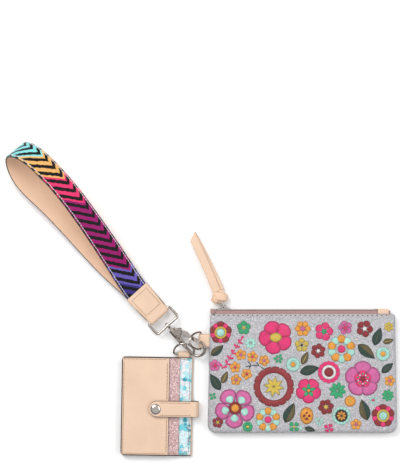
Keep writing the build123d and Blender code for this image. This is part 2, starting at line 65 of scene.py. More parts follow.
def grey(value):
    return (value, value, value, 1.0)


def shade(colour, factor, lift=0):
    """An sRGB colour made lighter or darker."""
    return srgb(*(min(255, c * factor + lift) for c in colour))


COLOURS = {
    "hotpink": (236, 52, 122),
    "orchid": (219, 108, 170),
    "maroon": (146, 40, 46),
    "orange": (243, 164, 60),
    "mint": (178, 230, 216),
    "green": (50, 172, 114),
    "darkleaf": (38, 66, 58),
    "olive": (100, 90, 56),
    "gold": (218, 190, 78),
    "white": (238, 240, 238),
    "red": (222, 58, 84),
    "dark": (52, 50, 40),
}

# ---------------------------------------------------------------- materials


class Shader:
    """A material built from nodes, with short ways to add and join them."""

    def __init__(self, name, roughness=0.5, metallic=0.0, **sockets):
        self.material = bpy.data.materials.new(name)
        self.material.use_nodes = True
        self.tree = self.material.node_tree
        self.surface = self.tree.nodes["Principled BSDF"]
        self.surface.inputs["Roughness"].default_value = roughness
        self.surface.inputs["Metallic"].default_value = metallic
        for key, value in sockets.items():
            self.surface.inputs[key.replace("_", " ")].default_value = value
        self.place = self.node("ShaderNodeTexCoord").outputs["Object"]

    def node(self, kind, inputs=None, **settings):
        made = self.tree.nodes.new(kind)
        for key, value in settings.items():
            setattr(made, key, value)
        for key, value in (inputs or {}).items():
            if isinstance(value, bpy.types.NodeSocket):
                self.tree.links.new(value, made.inputs[key])
            else:
                made.inputs[key].default_value = value
        return made

    def scaled(self, scale, source=None):
        """Texture coordinates times scale, which is one number or three."""
        factors = scale if isinstance(scale, tuple) else (scale, scale, scale)
        values = {"Vector": source or self.place, "Scale": factors}
        return self.node("ShaderNodeMapping", values).outputs[0]

    def attribute(self, name, output="Vector"):
        return self.node("ShaderNodeAttribute", attribute_name=name).outputs[output]

    def noise(self, scale, detail=2.0, source=None, output="Fac"):
        values = {"Vector": self.scaled(scale, source), "Scale": 1.0, "Detail": detail}
        return self.node("ShaderNodeTexNoise", values).outputs[output]

    def cells(self, scale, output="Color", source=None, **settings):
        values = {"Vector": self.scaled(scale, source), "Scale": 1.0}
        return self.node("ShaderNodeTexVoronoi", values, **settings).outputs[output]

    def ramp(self, source, *stops, mode="LINEAR"):
        made = self.node("ShaderNodeValToRGB", {"Fac": source})
        made.color_ramp.interpolation = mode
        points = made.color_ramp.elements
        while len(points) < len(stops):
            points.new(0.5)
        for point, (position, colour) in zip(points, stops):
            point.position = position
            point.color = colour
        return made.outputs["Color"]

    def mix(self, factor, first, second, blend="MIX"):
        made = self.node("ShaderNodeMix", data_type="RGBA", blend_type=blend)
        for index, value in ((0, factor), (6, first), (7, second)):
            if isinstance(value, bpy.types.NodeSocket):
                self.tree.links.new(value, made.inputs[index])
            else:
                made.inputs[index].default_value = value
        return made.outputs[2]

    def wave(self, axis, vector, scale=0.5, **inputs):
        """Bands across one axis of a vector."""
        values = {"Vector": vector, "Scale": scale}
        values.update({key.replace("_", " "): value for key, value in inputs.items()})
        return self.node("ShaderNodeTexWave", values, bands_direction=axis).outputs["Fac"]

    def math(self, operation, first, second=0.0):
        return self.node("ShaderNodeMath", {0: first, 1: second}, operation=operation).outputs[0]

    def plus(self, first, second):
        return self.math("ADD", first, second)

    def minus(self, first, second):
        return self.math("SUBTRACT", first, second)

    def times(self, first, second):
        return self.math("MULTIPLY", first, second)

    def finish(self, colour=None, roughness=None, height=None, depth=0.1, strength=0.6):
        """Joins up the colour, the roughness and a bump of depth millimetres."""
        if colour is not None:
            self.tree.links.new(colour, self.surface.inputs["Base Color"])
        if roughness is not None:
            self.tree.links.new(roughness, self.surface.inputs["Roughness"])
        if height is not None:
            values = {"Height": height, "Strength": strength, "Distance": depth * MM}
            bump = self.node("ShaderNodeBump", values)
            self.tree.links.new(bump.outputs[0], self.surface.inputs["Normal"])
        return self.material


def leather(name, colour):
    """Plain vegetable-tanned leather: faint blotches, a fine grain and soft gloss."""
    s = Shader(name, 0.52)
    pale = shade(colour, 1.015)
    deep = shade(colour, 0.97)
    blotch = s.noise(45.0, 3.0)
    base = s.ramp(blotch, (0.25, deep), (0.75, pale))
    pores = s.cells(1500.0, "Distance")
    grain = s.noise(900.0, 4.0)
    base = s.mix(s.ramp(pores, (0.0, grey(0.3)), (0.25, grey(0))), base, deep)
    height = s.plus(grain, s.times(pores, 0.6))
    return s.finish(base, s.ramp(blotch, (0.2, grey(0.46)), (0.8, grey(0.6))), height, 0.06)


def painted_edge(name):
    """The dark painted edge of cut leather."""
    s = Shader(name, 0.35)
    wear = s.noise(500.0, 3.0)
    base = s.ramp(wear, (0.35, srgb(34, 28, 30)), (0.75, srgb(70, 56, 56)))
    return s.finish(base, None, wear, 0.08)


def sparkle_cloth(name):
    """Silver-grey glitter canvas: a fine grain of bright and lilac flecks."""
    s = Shader(name, 0.5)
    fleck = s.cells(1500.0)
    tone = s.noise(140.0, 3.0)
    base = s.ramp(tone, (0.3, srgb(170, 169, 172)), (0.7, srgb(180, 179, 182)))
    spot = s.node("ShaderNodeSeparateColor", {"Color": fleck})
    grains = s.ramp(
        spot.outputs[0], (0.0, srgb(138, 137, 142)), (0.35, srgb(172, 171, 174)),
        (0.72, srgb(186, 185, 188)), (0.86, srgb(232, 228, 236)), mode="CONSTANT",
    )
    base = s.mix(0.6, base, grains)
    lilac = s.ramp(spot.outputs[1], (0.0, grey(0)), (0.9, grey(0.6)), mode="CONSTANT")
    base = s.mix(lilac, base, srgb(196, 190, 202))
    rough = s.ramp(spot.outputs[2], (0.0, grey(0.62)), (0.8, grey(0.28)), mode="CONSTANT")
    return s.finish(base, rough, spot.outputs[2], 0.12, 0.5)


def woven(name, colour, pitch=0.55, shade_contrast=0.12):
    """Plain weave of that pitch in millimetres, with painted shade in its hollows and painted light on its
    crests.
    """
    s = Shader(name, 0.8, Sheen_Weight=0.3)
    per_metre = 1 / (pitch * MM)
    warp, weft = (s.wave(axis, s.scaled(per_metre), Distortion=0.4) for axis in "XY")
    height = s.times(warp, weft)
    # Painted shade and light: the weave's hollows are coloured darker and its crests lighter.
    low = shade(colour, 1 - 2 * shade_contrast)
    high = shade(colour, 1 + shade_contrast)
    base = s.ramp(height, (0.05, low), (0.6, high))
    base = s.mix(s.times(s.noise(60.0), 0.35), base, shade(colour, 0.9))
    return s.finish(base, None, height, 0.15)


def thread(name, colour, shine=0.55):
    """Satin-stitched thread: strands along the attribute's first axis, with painted shade between the strands
    and at a motif's rim.
    """
    s = Shader(name, shine, Sheen_Weight=0.25)
    lay = s.attribute("thread")
    strand_lay = s.scaled((2.1, 0.12, 1.0), lay)
    strands = s.wave("X", strand_lay, Distortion=1.2, Detail=2.0, Detail_Scale=1.5)
    streak = s.noise((2.4, 0.25, 1.0), 3.0, lay)
    cloud = s.noise((0.18, 0.18, 0.18), 2.0, lay)
    low = shade(colour, 0.86)
    high = shade(colour, 1.06, 4)
    uneven = s.plus(s.times(streak, 0.55), s.times(cloud, 0.45))
    base = s.ramp(uneven, (0.32, low), (0.66, high))
    # Painted shade: the grooves between the strands are coloured darker.
    base = s.mix(s.times(s.minus(1.0, strands), 0.22), base, low, "MULTIPLY")
    # Painted shade: the rim value, 0 in a puff's middle and 1 at its edge, darkens the thread where the puff
    # curves down into the cloth.
    rim = s.attribute("rim", "Fac")
    edge = s.ramp(rim, (0.72, grey(0)), (0.97, grey(0.8)))
    base = s.mix(edge, base, shade(colour, 0.55))
    return s.finish(base, None, s.plus(strands, s.times(streak, 0.5)), 0.14, 0.7)


def metal(name, colour, rough, scratch=0.02):
    """Plated metal with faint wear and polishing marks."""
    s = Shader(name, rough, 1.0)
    wear = s.noise(260.0, 4.0)
    marks = s.noise((2500.0, 300.0, 900.0), 3.0)
    base = s.ramp(wear, (0.3, shade(colour, 0.9)), (0.7, srgb(*colour)))
    low, high = rough * 0.7, rough * 1.5
    gloss = s.ramp(marks, (0.3, grey(low)), (0.8, grey(high)))
    return s.finish(base, gloss, marks, scratch, 0.3)


def glitter(name):
    """Rose glitter foil."""
    s = Shader(name, 0.4, 0.2)
    grain = s.node("ShaderNodeSeparateColor", {"Color": s.cells(1350.0)})
    base = s.ramp(
        grain.outputs[0], (0.0, srgb(168, 134, 134)), (0.3, srgb(204, 170, 170)),
        (0.62, srgb(216, 186, 185)), (0.86, srgb(240, 218, 216)), (0.95, srgb(186, 140, 146)),
        mode="CONSTANT",
    )
    rough = s.ramp(grain.outputs[1], (0.0, grey(0.6)), (0.7, grey(0.2)), mode="CONSTANT")
    return s.finish(base, rough, grain.outputs[2], 0.15, 0.6)


def holographic(name):
    """Crackled iridescent foil: pale scales, some of them turquoise."""
    s = Shader(name, 0.22, 0.25, Coat_Weight=0.4, Coat_Roughness=0.1)
    bend = s.noise(220.0, 2.0, output="Color")
    bent = s.mix(0.002, s.place, bend, "ADD")
    scales = s.node("ShaderNodeSeparateColor", {"Color": s.cells(250.0, source=bent)})
    shift = s.noise(90.0, 2.0)
    pick = s.plus(s.times(scales.outputs[0], 0.65), s.times(shift, 0.5))
    base = s.ramp(
        pick, (0.0, srgb(232, 236, 240)), (0.36, srgb(214, 240, 244)), (0.56, srgb(240, 234, 240)),
        (0.66, srgb(176, 232, 240)), (0.78, srgb(110, 206, 220)), (0.9, srgb(52, 150, 172)),
        mode="CONSTANT",
    )
    gap = s.cells(250.0, "Distance", bent, feature="DISTANCE_TO_EDGE")
    crack = s.ramp(gap, (0.02, grey(1)), (0.07, grey(0)))
    base = s.mix(s.times(crack, 0.75), base, srgb(176, 184, 190))
    return s.finish(base, None, s.math("MINIMUM", gap, 0.12), 0.5, 0.6)


def printed_ribbon(name):
    """Sewn-on ribbon printed with zebra chevrons over bands of colour along its length."""
    s = Shader(name, 0.6, Sheen_Weight=0.15, Specular_IOR_Level=0.2)
    stripe_pitch = 10.6
    lay = s.attribute("thread")
    split = s.node("ShaderNodeSeparateXYZ", {0: lay})
    across, along = split.outputs[0], split.outputs[1]
    wobble = s.minus(s.noise((0.28, 0.28, 1.0), 3.0, lay), 0.5)
    ragged = s.minus(s.noise((1.9, 1.9, 1.0), 3.0, lay), 0.5)
    run = s.plus(along, s.times(wobble, 3.0))
    slope = s.times(s.plus(across, 12.0), 1.06)
    turn = s.times(s.math("MAXIMUM", s.minus(across, 6.6), 0.0), -2.4)
    steps = s.math("DIVIDE", s.plus(run, s.plus(slope, turn)), stripe_pitch)
    phase = s.math("FRACT", steps)
    tint = s.math("DIVIDE", s.minus(steps, phase), 40.0)
    violet, magenta, pink, tan = srgb(98, 84, 172), srgb(146, 10, 100), srgb(222, 48, 104), srgb(224, 168, 96)
    base = s.ramp(
        tint, (0.0, srgb(52, 46, 120)), (0.04, violet), (0.09, magenta), (0.29, pink), (0.365, tan),
        (0.44, srgb(122, 206, 206)), (0.54, tan), (0.64, pink), (0.74, magenta), (0.92, violet),
        mode="CONSTANT",
    )
    peak = s.math("ABSOLUTE", s.minus(phase, 0.5))
    swell = s.times(s.noise((0.12, 0.3, 1.0), 2.0, lay), 0.16)
    width = s.plus(s.plus(0.16, swell), s.times(ragged, 0.14))
    stripe = s.math("LESS_THAN", peak, width)
    rim = s.math("GREATER_THAN", s.math("ABSOLUTE", across), 11.0)
    edge_phase = s.math("FRACT", s.math("DIVIDE", s.plus(run, 3.0), stripe_pitch))
    dash = s.math("LESS_THAN", edge_phase, 0.42)
    stripe = s.plus(s.times(stripe, s.minus(1.0, rim)), s.times(dash, rim))
    base = s.mix(stripe, base, srgb(8, 6, 8))
    rib = s.wave("Y", s.scaled(1.0, lay), 0.9)
    # Painted light: the crests of the ribbon's ribs are coloured lighter.
    base = s.mix(s.times(rib, 0.12), base, srgb(255, 255, 255), "SOFT_LIGHT")
    return s.finish(base, None, rib, 0.06)


NUDE = (225, 194, 168)
skin = leather("leather_nude", NUDE)
skin_inner = leather("leather_inner", (228, 193, 165))
skin_edge = leather("leather_cut_edge", (196, 160, 130))
dark_edge = painted_edge("painted_edge")
cloth = sparkle_cloth("sparkle_cloth")
lining = woven("lining_cloth", (150, 140, 146), 0.5)
tape = woven("zip_tape_weave", (184, 146, 143), 0.7)
teeth = metal("zip_metal", (112, 88, 86), 0.35)
nickel = metal("polished_nickel", (194, 186, 180), 0.1)
cast = metal("cast_nickel", (172, 162, 154), 0.14)
steel = metal("spring_steel", (150, 150, 155), 0.3)
pale_thread = woven("pale_stitch", (226, 216, 202), 0.4)
tan_thread = woven("tan_stitch", (206, 170, 136), 0.4)
white_thread = woven("white_stitch", (240, 236, 236), 0.4)
# Painted shade: the colours of the needle holes stand in for the shade inside them.
needle_hole_shade = woven("needle_hole_shade", (122, 78, 54), 0.3)
grey_hole_shade = woven("grey_needle_hole", (104, 98, 100), 0.3)
foil = holographic("crackled_foil")
rose = glitter("rose_glitter")
ribbon = printed_ribbon("zebra_ribbon")
threads = {
    name: thread("thread_" + name, value, 0.38 if name == "gold" else 0.55) for name, value in COLOURS.items()
}

# ---------------------------------------------------------------- mesh building


class Pile:
    """Shapes in millimetres that become one piece."""

    def __init__(self):
        self.points, self.faces, self.looks, self.lay, self.shade_rims = [], [], [], [], []
        self.count = 0

    def add(self, points, faces, look=0, lay=None, rim=None):
        points = np.asarray(points, float)
        self.points.append(points)
        self.faces += [tuple(i + self.count for i in face) for face in faces]
        self.looks += list(look) if hasattr(look, "__len__") else [look] * len(faces)
        self.lay.append(np.zeros((len(points), 2)) if lay is None else np.asarray(lay, float))
        self.shade_rims.append(np.zeros(len(points)) if rim is None else np.asarray(rim, float))
        self.count += len(points)
        return self

    def piece(self, name, body, materials, slot, stands_for=(), smooth=40.0, ride=True):
        mesh = bpy.data.meshes.new(name)
        points = np.vstack(self.points) * MM
        mesh.from_pydata(points.tolist(), [], self.faces)
        for material in materials:
            mesh.materials.append(material)
        mesh.polygons.foreach_set("material_index", np.array(self.looks, np.int32))
        lay = np.zeros((len(points), 3), np.float32)
        lay[:, :2] = np.vstack(self.lay)
        mesh.attributes.new("thread", "FLOAT_VECTOR", "POINT").data.foreach_set("vector", lay.ravel())
        # The rim value carries the painted shade at each puff's edge to the thread material.
        shade_rims = np.concatenate(self.shade_rims).astype(np.float32)
        mesh.attributes.new("rim", "FLOAT", "POINT").data.foreach_set("value", shade_rims)
        shell = bmesh.new()
        shell.from_mesh(mesh)
        bmesh.ops.recalc_face_normals(shell, faces=shell.faces)
        shell.to_mesh(mesh)
        shell.free()
        mesh.update()
        made = bpy.data.objects.new(name, mesh)
        bpy.context.scene.collection.objects.link(made)
        mesh.shade_smooth()
        if smooth < 180:
            mesh.set_sharp_from_angle(angle=math.radians(smooth))
        if ride:
            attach(made, body)
        if stands_for:
            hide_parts(*stands_for)
        return made


def quads(rows, columns, closed=True, first=0):
    """Faces between rows of columns points each, row after row."""
    out = []
    for row in range(rows - 1):
        for column in range(columns if closed else columns - 1):
            a = first + row * columns + column
            b = first + row * columns + (column + 1) % columns
            out.append((a, b, b + columns, a + columns))
    return out


def ring_points(corners, inset, spacing, arc=6):
    """A convex outline of (x, y, radius) corners, counter-clockwise, drawn in by inset."""
    spots = [np.array(c[:2], float) for c in corners]
    count = len(spots)
    lines = []
    for i in range(count):
        along = spots[(i + 1) % count] - spots[i]
        long = np.linalg.norm(along)
        along = along / long
        inward = np.array([-along[1], along[0]])
        lines.append((spots[i] + inward * inset, along, max(1, round(long / spacing))))
    arcs = []
    for i in range(count):
        p, d, _ = lines[i - 1]
        q, e, _ = lines[i]
        meet = p + d * ((q - p)[0] * e[1] - (q - p)[1] * e[0]) / (d[0] * e[1] - d[1] * e[0])
        radius = max(corners[i][2] - inset, 0.02)
        half = math.acos(max(-1, min(1, float(d @ e)))) / 2
        centre = meet - (d - e) / np.linalg.norm(d - e) * radius / math.cos(half)
        start = np.array([d[1], -d[0]])
        angle = math.atan2(start[1], start[0])
        turns = [angle + 2 * half * k / arc for k in range(arc + 1)]
        arcs.append([centre + radius * np.array([math.cos(turn), math.sin(turn)]) for turn in turns])
    out = []
    for i in range(count):
        out += arcs[i]
        a, b = arcs[i][-1], arcs[(i + 1) % count][0]
        steps = lines[i][2]
        out += [a + (b - a) * k / steps for k in range(1, steps)]
    return np.array(out)


def filled(loop, spacing):
    """Points inside a convex loop and the triangles that fill it. The loop's own points come first."""
    count = len(loop)
    low, high = loop.min(0), loop.max(0)
    grid = []
    for row, y in enumerate(np.arange(low[1] + spacing / 2, high[1], spacing * 0.87)):
        for x in np.arange(low[0] + spacing * (0.5 if row % 2 else 1.0), high[0], spacing):
            grid.append((x, y))
    if grid:
        grid = np.array(grid)
        keep = np.ones(len(grid), bool)
        for i in range(count):
            a, b = loop[i], loop[(i + 1) % count]
            d = b - a
            size = np.linalg.norm(d)
            if size > 1e-6:
                keep &= ((grid[:, 1] - a[1]) * d[0] - (grid[:, 0] - a[0]) * d[1]) / size > 0.55 * spacing
        grid = grid[keep]
    spots = [Vector(p) for p in loop] + [Vector(p) for p in grid]
    edges = [(i, (i + 1) % count) for i in range(count)]
    made = geometry.delaunay_2d_cdt(spots, edges, [], 1, 1e-5)
    origin = [min(source) if source else -1 for source in made[3]]
    return np.array([list(p) for p in spots]), [tuple(origin[i] for i in face) for face in made[2]]


def plate(corners, levels, spacing=4.0, arc=6, looks=(0, 1, 0), bend=None):
    """A closed plate through levels of (inset, z), bottom first. looks: its bottom, side and top."""
    loops = [ring_points(corners, inset, spacing, arc) for inset, _ in levels]
    columns = len(loops[0])
    points = [np.c_[loop, np.full(columns, level[1])] for loop, level in zip(loops, levels)]
    faces = quads(len(levels), columns)
    look = [looks[1]] * len(faces)
    count = columns * len(levels)
    for loop, z, turned, first in ((loops[0], levels[0][1], True, 0),
                                   (loops[-1], levels[-1][1], False, columns * (len(levels) - 1))):
        spots, tris = filled(loop, spacing)
        extra = spots[columns:]
        points.append(np.c_[extra, np.full(len(extra), z)].reshape(-1, 3))
        for tri in tris:
            tri = tuple(first + i if i < columns else count + i - columns for i in tri)
            faces.append(tri[::-1] if turned else tri)
            look.append(looks[0] if turned else looks[2])
        count += len(extra)
    points = np.vstack(points)
    lay = points[:, :2].copy()
    if bend is not None:
        points = bend(points)
    return points, faces, look, lay


def rounded(low, high, radius):
    """Levels of a plate from low to high with rounded edges."""
    turns = [math.pi / 2 * k / 3 for k in range(4)]
    lower = [(radius * (1 - math.sin(t)), low + radius * (1 - math.cos(t))) for t in turns]
    upper = [(radius * (1 - math.cos(t)), high - radius * (1 - math.sin(t))) for t in turns]
    return lower + upper


def placed(points, origin, x_dir, y_dir, z_dir):
    """Local points put in a frame of three directions."""
    points = np.asarray(points, float)
    axes = np.array([x_dir, y_dir, z_dir], float)
    return points @ axes + np.array(origin, float)


def strip(path, side, width, thick, across=6, looks=(0, 1, 2), cup=0.0):
    """A band with round edges swept along a path. side is its direction across at each point.
    looks are those of the outer face, the edges and the inner face."""
    path, side = np.asarray(path, float), np.asarray(side, float)
    count = len(path)
    side = np.broadcast_to(side, path.shape)
    along = np.gradient(path, axis=0)
    along /= np.linalg.norm(along, axis=1)[:, None]
    side = side - along * (side * along).sum(1)[:, None]
    side = side / np.linalg.norm(side, axis=1)[:, None]
    out = np.cross(side, along)
    width = np.broadcast_to(np.asarray(width, float), (count,))
    half = thick / 2
    section = []
    for end in (1, -1):
        section += [(end * (k / across * 2 - 1), 0.0, end * half) for k in range(across + 1)]
        for k in range(1, 4):
            t = end * math.pi / 2 - math.pi * k / 4
            section.append((float(end), math.cos(t), half * math.sin(t)))
    looks_round = [looks[0]] * across + [looks[1]] * 4 + [looks[2]] * across + [looks[1]] * 4
    columns = len(section)
    edge = half * 0.8
    points, lay = [], []
    run = np.r_[0, np.cumsum(np.linalg.norm(np.diff(path, axis=0), axis=1))]
    for i in range(count):
        for u, bulge, lift in section:
            x = u * (width[i] / 2 - edge) + bulge * edge
            z = lift + cup * (u * u - 1) * (1 if bulge == 0 else 0)
            points.append(path[i] + side[i] * x + out[i] * z)
            lay.append((x, run[i]))
    faces = [tuple(reversed(f)) for f in quads(count, columns)]
    look = looks_round * (count - 1)
    for first, turned in ((0, False), ((count - 1) * columns, True)):
        lower = first + 2 * across + 4
        caps = [(first + k, first + k + 1, lower - k - 1, lower - k) for k in range(across)]
        caps += [tuple(range(first + across, first + across + 5)), (*range(lower, lower + 4), first)]
        faces += [cap[::-1] if turned else cap for cap in caps]
        look += [looks[1]] * len(caps)
    return np.array(points), faces, look, np.array(lay)


def ellipsoid(centre, a, b, c, around=8, rows=5):
    """A small ellipsoid of half axes a, b and c, which are vectors."""
    centre, a, b, c = (np.array(v, float) for v in (centre, a, b, c))
    points = [centre + a]
    for row in range(1, rows):
        t = math.pi * row / rows
        for k in range(around):
            f = 2 * math.pi * k / around
            points.append(centre + a * math.cos(t) + (b * math.cos(f) + c * math.sin(f)) * math.sin(t))
    points.append(centre - a)
    faces = [(0, 1 + (k + 1) % around, 1 + k)[::-1] for k in range(around)]
    faces += quads(rows - 1, around, first=1)
    last = len(points) - 1
    base = last - around
    faces += [(last, base + k, base + (k + 1) % around)[::-1] for k in range(around)]
    return np.array(points), faces


def resampled(points, pitch, offset=0.5):
    """Places a pitch apart along a polyline, with the direction there."""
    points = np.asarray(points, float)
    steps = np.linalg.norm(np.diff(points, axis=0), axis=1)
    run = np.r_[0, np.cumsum(steps)]
    count = max(1, int(round(run[-1] / pitch)))
    wanted = (np.arange(count) + offset) * run[-1] / count

    def at(where):
        return np.stack([np.interp(where, run, points[:, k]) for k in range(points.shape[1])], 1)

    way = at(wanted + 0.2) - at(wanted - 0.2)
    return at(wanted), way / np.linalg.norm(way, axis=1)[:, None]


def stitch_row(pile, points, up, pitch, length, radius, hole_shades=True):
    """A row of stitches on a surface, each with a dark disc of painted shade for the needle hole that it
    comes out of.
    """
    up = np.asarray(up, float)
    for i, (spot, way) in enumerate(zip(*resampled(points, pitch))):
        lift = up[i] if up.ndim > 1 else up
        lateral = np.cross(lift, way)
        lateral /= np.linalg.norm(lateral)
        middle = spot + lift * radius * 0.25
        pile.add(*ellipsoid(middle, way * length / 2, lateral * radius, lift * radius * 0.8), 0)
    # Painted shade: each needle hole is a flat dark disc that stands in for the shade inside the hole.
    if hole_shades:
        for spot, way in zip(*resampled(points, pitch, 0.0)):
            lateral = np.cross(up, way)
            lateral /= np.linalg.norm(lateral)
            pile.add(*ellipsoid(spot, way * radius * 1.5, lateral * radius * 1.05, up * 0.16, 8, 4), 1)


def apply_modifiers(made):
    bpy.context.view_layer.update()
    graph = bpy.context.evaluated_depsgraph_get()
    data = bpy.data.meshes.new_from_object(made.evaluated_get(graph))
    made.modifiers.clear()
    old = made.data
    made.data = data
    bpy.data.meshes.remove(old)
    data.name = made.name
    return data


def soft_copy(node, name, body, material, voxel, smooth):
    """A copy of a CAD node with its hard edges melted, as a casting or moulded leather has."""
    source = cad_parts[node]
    made = source.copy()
    made.data = source.data.copy()
    made.name = name
    for key in list(made.keys()):
        del made[key]
    made.parent = None
    bpy.context.scene.collection.objects.link(made)
    mesh = made.modifiers.new("melt", "REMESH")
    mesh.mode = "VOXEL"
    mesh.voxel_size = voxel * MM
    ease = made.modifiers.new("ease", "SMOOTH")
    ease.iterations = smooth
    ease.factor = 0.5
    data = apply_modifiers(made)
    data.materials.clear()
    data.materials.append(material)
    data.polygons.foreach_set("material_index", np.zeros(len(data.polygons), np.int32))
    data.shade_smooth()
    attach(made, body)
    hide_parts(node)
    return made


# ---------------------------------------------------------------- pouch
POUCH_THICK = 11.0
MID = POUCH_THICK / 2
LOW_Y, HIGH_Y = -61.7, 62.2
HALF_LOW, HALF_HIGH = 98.5, 96.0
POUCH_CORNERS = (
    (HALF_LOW, LOW_Y, 9.0), (HALF_HIGH, HIGH_Y, 3.0), (-HALF_HIGH, HIGH_Y, 3.0), (-HALF_LOW, LOW_Y, 9.0),
)
SIDE_ROUND = 6.0
HEM_ROUND = 1.5
HEM_LOW = 9.7
SEAM_LOW = MID + 0.12
SEAM_GAPE = 2.3
CROWN = 2.3
TAB_Y = 34.4


def smooth_step(value, low, high):
    t = np.clip((value - low) / (high - low), 0, 1)
    return t * t * (3 - 2 * t)


def crowned(inset, low, reach):
    """Height of a turned edge at a distance in from it."""
    t = np.clip(inset / reach, 0, 1)
    return low + (POUCH_THICK - low) * (1 - (1 - t) ** CROWN) ** (1 / CROWN)


def ripples(x, y):
    """The unevenness of the stuffed cloth, from about 0 down to -0.3."""
    out = np.empty(len(x))
    for i, (a, b) in enumerate(zip(x, y)):
        broad = noise.noise(Vector((a * 0.045, b * 0.06, 1.7)))
        out[i] = broad + 0.4 * noise.noise(Vector((a * 0.13, b * 0.16, 4.1)))
    return -0.16 + 0.17 * np.clip(out, -0.9, 0.9)


def seam_low(x, y):
    """How low the side seam lies: it opens where the ring's tab is sewn into it."""
    near = np.exp(-(((y - TAB_Y) / 6.5) ** 4)) * (x < 0)
    return SEAM_LOW + SEAM_GAPE * near


def front_height(x, y, inset=None, on_top_edge=None):
    """Height of the pouch's front at a point, or at a ring point of a known inset."""
    x, y = np.asarray(x, float), np.asarray(y, float)
    top_gap = HIGH_Y - y
    slant = (HALF_LOW - HALF_HIGH) / (HIGH_Y - LOW_Y)
    side_gap = HALF_LOW - slant * (y - LOW_Y) - np.abs(x)
    if inset is None:
        edge = np.minimum(side_gap, y - LOW_Y)
        hem = top_gap
    else:
        edge = np.where(on_top_edge, np.maximum(side_gap, inset), inset)
        hem = np.where(on_top_edge, inset, top_gap)
    closing = smooth_step(np.abs(x), 87.0, 94.0)
    sides = crowned(np.maximum(edge, 0), seam_low(x, y), SIDE_ROUND)
    hem = np.maximum(hem, 0)
    top = crowned(hem, HEM_LOW + (SEAM_LOW - HEM_LOW) * closing, HEM_ROUND + 4.0 * closing)
    calm = smooth_step(np.minimum(np.maximum(edge, 0), hem), 0.0, 9.0)
    return np.minimum(sides, top) + ripples(x, y) * calm


def pouch_shell(name, node, back):
    insets = [0.0, 0.25, 0.7, 1.4, 2.3, 3.4, 4.8, 6.4, 8.2]
    loops = [ring_points(POUCH_CORNERS, inset, 2.2, 9) for inset in insets]
    columns = len(loops[0])
    points = []
    for inset, loop in zip(insets, loops):
        on_top = loop[:, 1] > HIGH_Y - inset - 0.02
        height = front_height(loop[:, 0], loop[:, 1], np.full(columns, inset), on_top)
        points.append(np.c_[loop, height])
    spots, tris = filled(loops[-1], 1.9)
    extra = spots[columns:]
    points.append(np.c_[extra, front_height(extra[:, 0], extra[:, 1])])
    faces = quads(len(insets), columns)
    first = columns * (len(insets) - 1)
    faces += [tuple(first + i for i in tri) for tri in tris]
    points = np.vstack(points)
    if back:
        points[:, 2] = POUCH_THICK - points[:, 2]
        points[:, 2] = np.maximum(points[:, 2], 0.0)
        faces = [face[::-1] for face in faces]
    pile = Pile().add(points, faces, 0, points[:, :2])
    made = pile.piece(name, "pouch", [cloth], "pouch_cloth", (node,), smooth=180)
    thick = made.modifiers.new("skin", "SOLIDIFY")
    thick.thickness = 1.2 * MM
    thick.offset = -1
    apply_modifiers(made)
    return made


pouch_shell("pouch_front_cloth", "pouch_front_panel", False)
pouch_shell("pouch_back_cloth", "pouch_back_panel", True)

mouth = Pile()
for side in (1, -1):
    line = np.array([(x, HIGH_Y - 1.5, 0.0) for x in np.linspace(-91.5, 91.5, 60)])
    z = front_height(line[:, 0], line[:, 1])
    line[:, 2] = z + 0.05 if side > 0 else POUCH_THICK - z - 0.05
    stitch_row(mouth, line, (0, 0, side), 4.9, 3.4, 0.55)
mouth.piece("pouch_mouth_stitching", "pouch", [pale_thread, grey_hole_shade], "pouch_cloth", smooth=180)

# ---------------------------------------------------------------- embroidery
UNDER_CLOTH = -0.7
LAYER_STEP = 0.32


def outline_petal(length, width, count, blunt, peak):
    """A petal that grows from the origin along +Y."""
    half = []
    for k in range(count // 2 + 1):
        s = k / (count // 2)
        bow = s ** (math.log(0.5) / math.log(peak))
        half.append((width / 2 * math.sin(math.pi * bow) ** blunt, s * length))
    return np.array(half + [(-x, y) for x, y in half[-2:0:-1]])


def outline_oval(half_x, half_y, count):
    t = np.arange(count) * 2 * math.pi / count
    return np.c_[half_x * np.cos(t), half_y * np.sin(t)]


def turned(points, degrees):
    c, s = math.cos(math.radians(degrees)), math.sin(math.radians(degrees))
    return np.asarray(points, float) @ np.array([[c, s], [-s, c]])


def puff(pile, outline, centre, degrees, look, height, lift=0.0, shift=(0.0, 0.0), heart=None):
    """A stuffed, thread-covered shape on the cloth: its outline is swept up into a low dome."""
    outline = np.asarray(outline, float)
    middle = outline.mean(0) if heart is None else np.array(heart, float)
    shares = (1.0, 1.0, 0.965, 0.88, 0.72, 0.5, 0.26)
    count = len(outline)
    flat = [middle + (outline - middle) * share for share in shares] + [middle[None]] * 2
    rise = [np.full(count, height * (1 - share ** 3.2) ** 0.55) for share in shares]
    rise[0] = np.full(count, UNDER_CLOTH)
    rise += [np.array([height]), np.array([UNDER_CLOTH])]
    # rim runs from 0 at the middle to 1 at the outline; the thread material paints shade by it.
    rim = [np.full(count, share) for share in shares] + [np.array([0.0]), np.array([1.0])]
    flat, rise, rim = np.vstack(flat), np.concatenate(rise), np.concatenate(rim)
    spots = turned(flat + np.array(shift), degrees) + np.array(centre)
    z = front_height(spots[:, 0], spots[:, 1]) + rise + lift
    faces = quads(len(shares), count)
    top, bottom = len(shares) * count, len(shares) * count + 1
    last = (len(shares) - 1) * count
    faces += [(last + k, last + (k + 1) % count, top) for k in range(count)]
    faces += [((k + 1) % count, k, bottom) for k in range(count)]
    pile.add(np.c_[spots, z], faces, look, flat + np.array(centre) * 3, rim)


